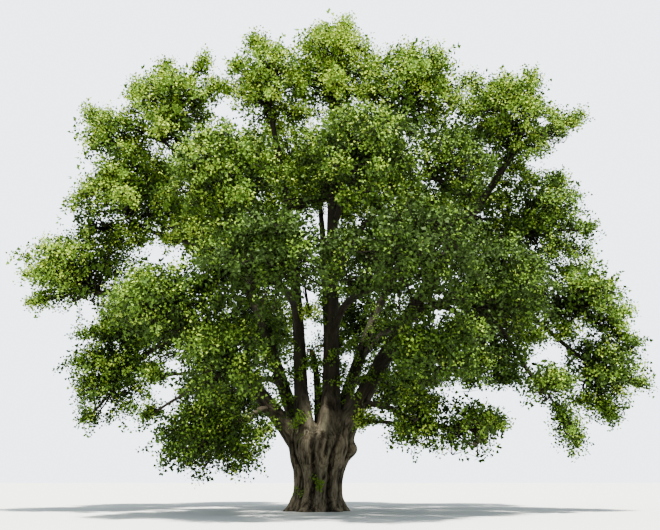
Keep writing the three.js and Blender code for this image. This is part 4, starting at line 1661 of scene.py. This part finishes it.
@dataclass
class Mass:
    """One mass of foliage, grown on from its bough's tip to finer and finer twigs."""

    limb: Limb
    canopy: Canopy
    seed: int
    clump_area: float = 3.1
    clump_sizes: tuple[float, float] = (0.68, 1.2)
    lump: float = 0.11
    sunk_share: float = 0.3
    sunk: tuple[float, float] = (0.7, 0.88)
    inner_share: float = 0.85
    inner: tuple[float, float] = (0.28, 0.72)
    # How much darker the greens are dealt under the crown towards the sun: painted shadow.
    shade: float = 0.28
    sprig_share: float = 0.5
    twig_foot: float = 0.02
    far_coarse: float = 1.25
    depth_limits: tuple[float, float] = (-15.8, 16.7)
    top: float = 29.5
    stalk_sprays: int = 30
    stem_steps: int = 12
    stem_foot: float = 0.97
    stem_taper: float = 0.72
    least_spread: float = 1.8
    branchlet_radii: tuple[float, float] = (0.058, 0.038)
    sprig_radii: tuple[float, float] = (0.022, 0.009)
    loose_sizes: tuple[float, float] = (0.85, 1.05)
    spray_reach: float = 0.3
    spare: float = -0.4
    far_from: float = 1.5
    # Painted light on the greens: most at the crown's rim, painted shade with depth in the crown, and more
    # painted sun higher up.
    rim_light: float = 0.24
    depth_dimming: float = 0.14
    height_light: float = 0.014
    middle_height: float = 13.0

    def __post_init__(self) -> None:
        """Starts the mass's own seeded run of random numbers, and its empty pieces."""
        self.random = np.random.default_rng(self.seed)
        self.name = self.limb.plan.name
        behind = min(lobe.heart[1] for lobe in self.limb.plan.lobes) > self.far_from
        self.coarse = self.far_coarse if behind else 1.0
        self.stems = TubeMesh(4)
        self.twigs = TubeMesh(3)
        self.shoots = Shoots()

    def clumps(self, own: Lobe) -> list[Clump]:
        """Spreads clumps over a lobe's outer side, some of them sunk, and a few deep inside it.

        Args:
            own: The lobe.

        Returns:
            The clumps.
        """
        random = self.random
        area = 4 * math.pi * float(np.prod(own.form) ** (2 / 3))
        count = max(7, int(area / self.clump_area))
        ways = unit(spiral_ways(count, random.uniform(0, 2 * math.pi)) + random.normal(0, 0.12, (count, 3)))
        sizes = random.uniform(*self.clump_sizes, count) * min(1.0, 0.45 + own.spread / 5.5)
        reach = self.canopy.reach(own, ways)
        reach *= 1.0 + self.lump * (2 * value_noise(ways * 1.9 + own.heart, 9) - 1)
        sunk = random.uniform(size=count) < self.sunk_share
        reach *= np.where(sunk, random.uniform(*self.sunk, count), 1.0)
        middles = own.heart + ways * own.form * reach[:, None] - ways * (1.12 * sizes + 0.12)[:, None]
        facing = ways @ unit(own.heart - CROWN_HEART)
        full = self.canopy.fullness(middles + 0.6 * ways)
        keep = self.canopy.holds(middles, own, 0.0)
        keep &= (middles[:, 1] > self.depth_limits[0]) & (middles[:, 1] < self.depth_limits[1])
        keep &= (full < 3.2 * math.exp(self.canopy.blend * 0.45)) | (own not in self.canopy.lobes)
        keep &= (facing > -0.4) | (random.uniform(size=count) < 0.3)
        keep &= (ways[:, 2] > -0.72) | (random.uniform(size=count) < 0.6)
        poles = unit(0.62 * ways + 0.72 * UP + random.normal(0, 0.14, ways.shape))
        light = self.light_at(middles, full)
        found = [Clump(middles[index], poles[index], sizes[index], False, light[index], self.coarse)
                 for index in np.flatnonzero(keep)]
        if own.spread < self.least_spread:
            return found
        inside = spiral_ways(max(4, int(self.inner_share * count)), random.uniform(0, 2 * math.pi))
        for way in inside:
            middle = own.heart + way * own.form * random.uniform(*self.inner)
            light = float(self.light_at(middle[None], self.canopy.fullness(middle[None]))[0])
            pole, size = unit(UP + random.normal(0, 0.4, 3)), random.uniform(0.9, 1.3)
            found.append(Clump(middle, pole, size, True, light, self.coarse))
        return found

    def light_at(self, places: Array, full: Array) -> Array:
        """How much painted light a clump's greens stand for: painted shade deeper in the crown and under its
        other lobes, painted sun higher up.

        Args:
            places: The clumps' middles.
            full: How deep in the crown they lie.

        Returns:
            The light, where one is full sun.
        """
        light = self.rim_light - self.depth_dimming * np.log(np.maximum(full, 1.0))
        light = light + self.height_light * (places[:, 2] - self.middle_height)
        return light - self.shade * self.canopy.cover(places) + SUN_SHARE.get(self.name, 0.0)

    def grow(self) -> None:
        """Grows the whole mass: a stem into each lobe and tuft, a branchlet to each clump, and its shoots."""
        tip, onward = self.limb.point(1.0), self.limb.tangent(1.0)
        share = np.linspace(0, 1, self.stem_steps)[:, None]
        tufts = (tuft.lobe() for tuft in TUFTS.get(self.name, ()))
        for own in (*self.limb.plan.lobes, *FILLING.get(self.name, ()), *tufts):
            end = own.heart + unit(own.heart - tip) * 0.5 * own.radii[2]
            knee = tip + onward * 0.35 * float(np.linalg.norm(end - tip))
            stem = np.concatenate(((tip - onward * 0.3)[None], bow(share, tip, knee, end)))
            width = self.limb.tip_radius * min(1.0, 0.35 + own.spread / 4.0)
            widths = np.concatenate(((0.0,), share[:, 0]))
            widths = (self.stem_foot - self.stem_taper * widths) * width
            self.stems.add(stem[None], widths[None])
            clumps = self.clumps(own)
            self.add_branchlets(stem[3:], clumps)
            for clump in clumps:
                self.add_clump(own, clump)
            if own not in self.canopy.lobes:
                self.add_stalk_leaves(stem)

    def add_stalk_leaves(self, stem: Array) -> None:
        """Sets loose sprays round the outer half of a tuft's stem, so that it isn't bare.

        Args:
            stem: The tuft's stem.
        """
        count = self.stalk_sprays
        spots = stem[self.random.integers(5, len(stem), count)]
        ways = unit(self.random.normal(0, 1, (count, 3)) + 0.4 * UP)
        roots = spots + ways * self.random.uniform(0.1, 0.6, (count, 1))
        self.twigs.spikes(spots, roots + 0.15 * ways, self.twig_foot)
        light = self.light_at(roots, self.canopy.fullness(roots)) + self.random.normal(0, 0.3, count)
        sizes = self.random.uniform(*self.loose_sizes, count)
        self.shoots += Shoots.full(roots, ways, sizes, tones_for(light)).only(self.is_free(roots))

    def is_free(self, points: Array) -> Array:
        """Which points may carry leaves: under the crown's top, and out of the gaps that show sky."""
        return (points[:, 2] < self.top) & ~self.canopy.open_sky(points)

    def fits(self, points: Array, ways: Array, own: Lobe) -> Array:
        """Which sprays are free and keep to their own lobe's space."""
        held = self.canopy.holds(points + self.spray_reach * ways, own, self.spare)
        return held & self.is_free(points)

    def add_branchlets(self, stem: Array, clumps: Sequence[Clump]) -> None:
        """Adds a curved branchlet from the stem to each clump.

        Args:
            stem: The lobe's stem.
            clumps: The clumps that the branchlets carry.
        """
        ends = np.array([clump.node() for clump in clumps])
        count = len(ends)
        feet = stem[np.argmin(np.linalg.norm(ends[:, None, :] - stem[None], axis=2), axis=1)]
        feet = feet + (stem[0] - feet) * self.random.uniform(0.1, 0.6, count)[:, None]
        share = np.linspace(0, 1, 4)[None, :, None]
        lift = np.linalg.norm(ends - feet, axis=1)[:, None] * self.random.uniform(-0.02, 0.2, (count, 1)) * UP
        knee = 0.5 * (feet + ends) + lift + self.random.normal(0, 0.16, (count, 3))
        paths = bow(share, feet[:, None], knee[:, None], ends[:, None])
        foot, taper = self.branchlet_radii
        self.stems.add(paths, (foot - taper * share[:, :, 0]) * np.ones((count, 1)))

    def add_clump(self, own: Lobe, clump: Clump) -> None:
        """Sets one clump's twigs and sprays, and now and then a sprig that hangs out of it.

        Args:
            own: The lobe.
            clump: The clump.
        """
        ends, ways, height = clump.ends(self.random)
        fits = self.fits(ends, ways, own)
        if fits.any():
            node = clump.node()
            ends, ways, height = ends[fits], ways[fits], height[fits]
            self.twigs.spikes(np.broadcast_to(node, ends.shape), ends + 0.2 * ways, self.twig_foot)
            self.shoots += clump.shoots(ends, ways, height, node, self.random)
        out = unit((clump.middle - own.heart) / own.form)
        if clump.deep or out[2] > 0.35 or self.random.uniform() > self.sprig_share:
            return
        self.add_sprig(own, clump, out)

    def add_sprig(self, own: Lobe, clump: Clump, out: Array) -> None:
        """Hangs a thin sprig of a few sprays from a clump's rim.

        Args:
            own: The lobe.
            clump: The clump that it leaves.
            out: The way out of the crown.
        """
        length = clump.size + self.random.uniform(0.35, 0.95)
        fall = self.random.uniform(0.2, 0.75)
        way = unit(out + self.random.normal(0, 0.3, 3))
        count = int(self.random.integers(5, 10))
        spots = np.linspace(0.5, 1.0, count)[:, None]
        roots = clump.middle + way * length * spots - UP * fall * length * spots ** 2
        ways = unit(way + self.random.normal(0, 0.6, (count, 3)) - 0.35 * UP)
        fits = self.fits(roots, ways, own)
        if fits.sum() < 3:
            return
        share = np.linspace(0, 1, 5)[:, None] * float(spots[fits].max())
        path = clump.middle + way * length * share - UP * fall * length * share ** 2
        self.twigs.add(path[None], np.linspace(*self.sprig_radii, 5)[None])
        tones = tones_for(clump.light + self.random.normal(0, 0.25, count))
        sizes = self.random.uniform(*self.loose_sizes, count)
        self.shoots += Shoots.full(roots, ways, sizes, tones).only(fits)


@dataclass
class Crown:
    """All the masses of foliage, and the small shoots on the trunk and the limbs."""

    limbs: dict[str, Limb]
    bark: bpy.types.Material
    variants: int = 3
    twig_grain: float = 2.0
    twig_relief: float = 0.6

    def __post_init__(self) -> None:
        """Makes the greens, the sprays and the nodes that set them."""
        self.sprays = bpy.data.collections.new("sprays")
        for spray in SPRAYS:
            for variant in range(self.variants):
                name = f"spray_{int(spray.kind)}_{variant}"
                mesh = spray.mesh(name, 40 + 10 * spray.kind + variant)
                self.sprays.objects.link(bpy.data.objects.new(name, mesh))
        self.nodes = SprayNodes([finish.material() for finish in LEAF_FINISHES])

    def build(self) -> None:
        """Grows, dresses and seats every mass."""
        canopy = Canopy([lobe for limb in self.limbs.values() for lobe in limb.plan.lobes])
        for seed, limb in enumerate(self.limbs.values(), start=1):
            mass = Mass(limb, canopy, seed)
            mass.grow()
            nodes = [f"foliage_{mass.name}"]
            self.add_leaves(f"leaves_{mass.name}", mass.shoots, mass.random, seed, nodes)
            self.add_wood(f"stems_{mass.name}", mass.stems, nodes)
            self.add_wood(f"twigs_{mass.name}", mass.twigs, nodes)

    def build_sprouts(self, sprouts: "Sprouts") -> None:
        """Grows, dresses and seats the small shoots on the wood.

        Args:
            sprouts: The small shoots.
        """
        sprouts.grow(self.limbs)
        self.add_leaves("leaves_sprouts", sprouts.shoots, sprouts.random, 99, [])
        self.add_wood("twigs_sprouts", sprouts.twigs, [])

    def finish(self) -> None:
        """Clears the sprays away once every piece has its leaves."""
        for item in list(self.sprays.objects):
            bpy.data.objects.remove(item)
        bpy.data.collections.remove(self.sprays)

    def add_leaves(self, name: str, shoots: Shoots, random: np.random.Generator, seed: int,
                   nodes: Sequence[str]) -> None:
        """Makes one piece of leaves.

        Args:
            name: The piece's name.
            shoots: Its shoots.
            random: The mass's own run of random numbers.
            seed: Picks how the sprays' sizes stray.
            nodes: The solids that it replaces.
        """
        cloud = shoots.cloud(f"cloud_{name}", self.variants, random)
        leaves = self.nodes.grow(cloud, self.sprays, seed, name)
        for value in ("spin", "kind", "tone", "size"):
            if value in leaves.attributes:
                leaves.attributes.remove(leaves.attributes[value])
        bpy.data.objects.remove(cloud)
        seat(piece_of(name, leaves), nodes)

    def add_wood(self, name: str, tubes: TubeMesh, nodes: Sequence[str]) -> None:
        """Makes one piece of stems or twigs.

        Args:
            name: The piece's name.
            tubes: Its tubes.
            nodes: The solids that it replaces.
        """
        mesh = tubes.mesh(name)
        finish_bark(mesh, self.bark)
        relief = np.full(len(mesh.vertices), self.twig_relief)
        grain = self.twig_grain * vertex_places(mesh)
        keep_values(mesh, (("grain", "FLOAT_VECTOR", grain), ("relief", "FLOAT", relief)))
        seat(piece_of(name, mesh), nodes)


@dataclass
class Sprouts:
    """Small leafy shoots that stand straight on the trunk and on the lower limbs."""

    seed: int = 77
    on_limbs: tuple[tuple[str, float, float, int], ...] = (
        ("left_tip", 0.08, 0.6, 20), ("top_left", 0.06, 0.55, 22), ("top", 0.1, 0.6, 22),
        ("top_back", 0.08, 0.6, 22), ("upper_right", 0.1, 0.6, 22),
        ("back_left_high", 0.12, 0.6, 20), ("back_right_high", 0.12, 0.6, 20))
    on_trunk: tuple[tuple[float, float, float], ...] = (
        (-92.0, 1.5, 0.3), (-84.0, 1.25, 0.22), (-128.0, 1.0, 0.16), (-130.0, 4.7, 0.7), (-118.0, 5.0, 0.55))
    trunk_reach: float = 1.33
    sizes: tuple[float, float] = (0.35, 0.85)
    stub: tuple[tuple[float, float, float], ...] = ((0.2, 0.1, 4.5), (0.12, 0.0, 7.0), (-0.2, -0.1, 9.0))
    stub_radii: tuple[float, float] = (0.34, 0.1)
    stub_steps: int = 14
    withered: int = 12

    def __post_init__(self) -> None:
        """Starts the sprouts' own seeded run of random numbers, and their empty pieces."""
        self.random = np.random.default_rng(self.seed)
        self.twigs = TubeMesh(4)
        self.shoots = Shoots()

    def grow(self, limbs: dict[str, Limb]) -> None:
        """Grows every sprout.

        Args:
            limbs: The boughs that they stand on.
        """
        for name, low, high, count in self.on_limbs:
            limb = limbs[name]
            for share in self.random.uniform(low, high, count):
                way = limb.tangent(share)
                side = unit(np.cross(way, self.random.normal(0, 1, 3)))
                foot = limb.point(share) + side * limb.radius(share) * 0.9
                self.add_sprout(foot, unit(side + 0.5 * UP), self.random.uniform(*self.sizes), Tone.DEEP)
        for bearing, height, size in self.on_trunk:
            way = place(bearing, 1.0, 0.0)
            self.add_sprout(way * self.trunk_reach + UP * height, unit(way + 0.4 * UP), size, Tone.MID)
        self.add_stub()

    def add_sprout(self, foot: Array, way: Array, size: float, tone: Tone) -> None:
        """Adds a few sprays on one foot.

        Args:
            foot: Where it leaves the wood.
            way: Which way it grows.
            size: How far it reaches.
            tone: Its deeper green.
        """
        count = int(4 + 14 * size)
        ways = unit(way + self.random.normal(0, 0.5, (count, 3)))
        roots = foot + ways * size * self.random.uniform(0.35, 1.0, (count, 1))
        self.twigs.spikes(np.broadcast_to(foot - way * 0.1, roots.shape), roots + 0.15 * ways, 0.02)
        tones = np.where(self.random.uniform(size=count) < 0.55, tone, Tone.MID)
        self.shoots += Shoots.full(roots, ways, self.random.uniform(0.7, 0.95, count), tones)

    def add_stub(self) -> None:
        """Adds the old stub behind the fork, with its withered top and green sides."""
        foot, knee, top = (np.array(spot) for spot in self.stub)
        path = bow(np.linspace(0, 1, self.stub_steps)[:, None], foot, knee, top)
        self.twigs.add(path[None], np.linspace(*self.stub_radii, self.stub_steps)[None])
        for index in range(3, self.stub_steps):
            way = unit(self.random.normal(0, 1, 3) + 0.4 * UP)
            self.add_sprout(path[index], way, self.random.uniform(0.3, 0.6), Tone.DEEP)
        ways = unit(self.random.normal(0, 1, (self.withered, 3)) + 0.1 * UP)
        roots = top + ways * self.random.uniform(0.1, 0.45, (self.withered, 1))
        tones = np.full(self.withered, int(Tone.WITHERED))
        self.shoots += Shoots.full(roots, ways, self.random.uniform(0.7, 1.0, self.withered), tones)


@dataclass(frozen=True)
class Stage:
    """The plain floor, the lights and the camera."""

    pitch: float = EYE_PITCH
    lens: float = 41.45
    sensor: float = 36.0
    far_end: float = 4000.0
    floor_half: float = 900.0
    floor_colour: Colour = (0.5, 0.51, 0.49)
    floor_roughness: float = 0.9
    fill_colour: Colour = (0.82, 0.91, 1.0)
    fill_strength: float = 1.3
    backdrop_colour: Colour = (0.86, 0.93, 1.0)
    backdrop_strength: float = 2.6
    sun_strength: float = 15.0
    sun_colour: Colour = (1.0, 0.97, 0.9)
    sun_size: float = 2.5
    sun_turn: tuple[float, float, float] = (16.0, 7.0, 0.0)
    look: str = "AgX - Medium High Contrast"

    def add_camera(self) -> None:
        """The camera at the photograph's viewing angle."""
        data = bpy.data.cameras.new("camera")
        data.sensor_width = self.sensor
        data.lens = self.lens
        data.clip_end = self.far_end
        camera = bpy.data.objects.new("camera", data)
        camera.location = tuple(EYE)
        camera.rotation_euler = Euler((math.radians(90.0 + self.pitch), 0.0, 0.0))
        bpy.context.scene.collection.objects.link(camera)
        bpy.context.scene.camera = camera

    def add_floor(self) -> None:
        """A plain pale floor, level with the trunk's cut."""
        half = self.floor_half
        mesh = bpy.data.meshes.new("floor")
        corners = [(-half, -half, 0), (half, -half, 0), (half, half, 0), (-half, half, 0)]
        mesh.from_pydata(corners, [], [(0, 1, 2, 3)])
        mesh.materials.append(plain_finish("floor", self.floor_colour, self.floor_roughness))
        piece_of("floor", mesh)

    def add_lights(self) -> None:
        """A high soft key, an even fill from the sky, and a paler sky behind the tree."""
        data = bpy.data.lights.new("key", "SUN")
        data.energy = self.sun_strength
        data.angle = math.radians(self.sun_size)
        data.color = self.sun_colour
        key = bpy.data.objects.new("key", data)
        key.rotation_euler = Euler(tuple(math.radians(turn) for turn in self.sun_turn))
        bpy.context.scene.collection.objects.link(key)
        world = bpy.data.worlds.new("sky")
        world.use_nodes = True
        tree = world.node_tree
        fill = tree.nodes["Background"]
        fill.inputs["Color"].default_value = (*self.fill_colour, 1.0)
        fill.inputs["Strength"].default_value = self.fill_strength
        backdrop = tree.nodes.new("ShaderNodeBackground")
        backdrop.inputs["Color"].default_value = (*self.backdrop_colour, 1.0)
        backdrop.inputs["Strength"].default_value = self.backdrop_strength
        seen = tree.nodes.new("ShaderNodeLightPath")
        mix = tree.nodes.new("ShaderNodeMixShader")
        tree.links.new(seen.outputs["Is Camera Ray"], mix.inputs["Fac"])
        tree.links.new(fill.outputs["Background"], mix.inputs[1])
        tree.links.new(backdrop.outputs["Background"], mix.inputs[2])
        tree.links.new(mix.outputs["Shader"], tree.nodes["World Output"].inputs["Surface"])
        bpy.context.scene.world = world
        bpy.context.scene.view_settings.look = self.look


def save_sizes() -> None:
    """Brings the view layer up to date."""
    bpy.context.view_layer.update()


def main() -> None:
    """Builds the stage, the wood and the crown in order."""
    logging.basicConfig(level=logging.INFO, format="%(name)s: %(message)s")
    stage = Stage()
    stage.add_camera()
    stage.add_floor()
    stage.add_lights()
    bark = BarkFinish("linden_bark").material()
    limbs = lay_out_limbs()
    Wood(limbs).build(bark)
    crown = Crown(limbs, bark)
    crown.build()
    crown.build_sprouts(Sprouts())
    crown.finish()
    save_sizes()


if __name__ == "__main__":
    main()
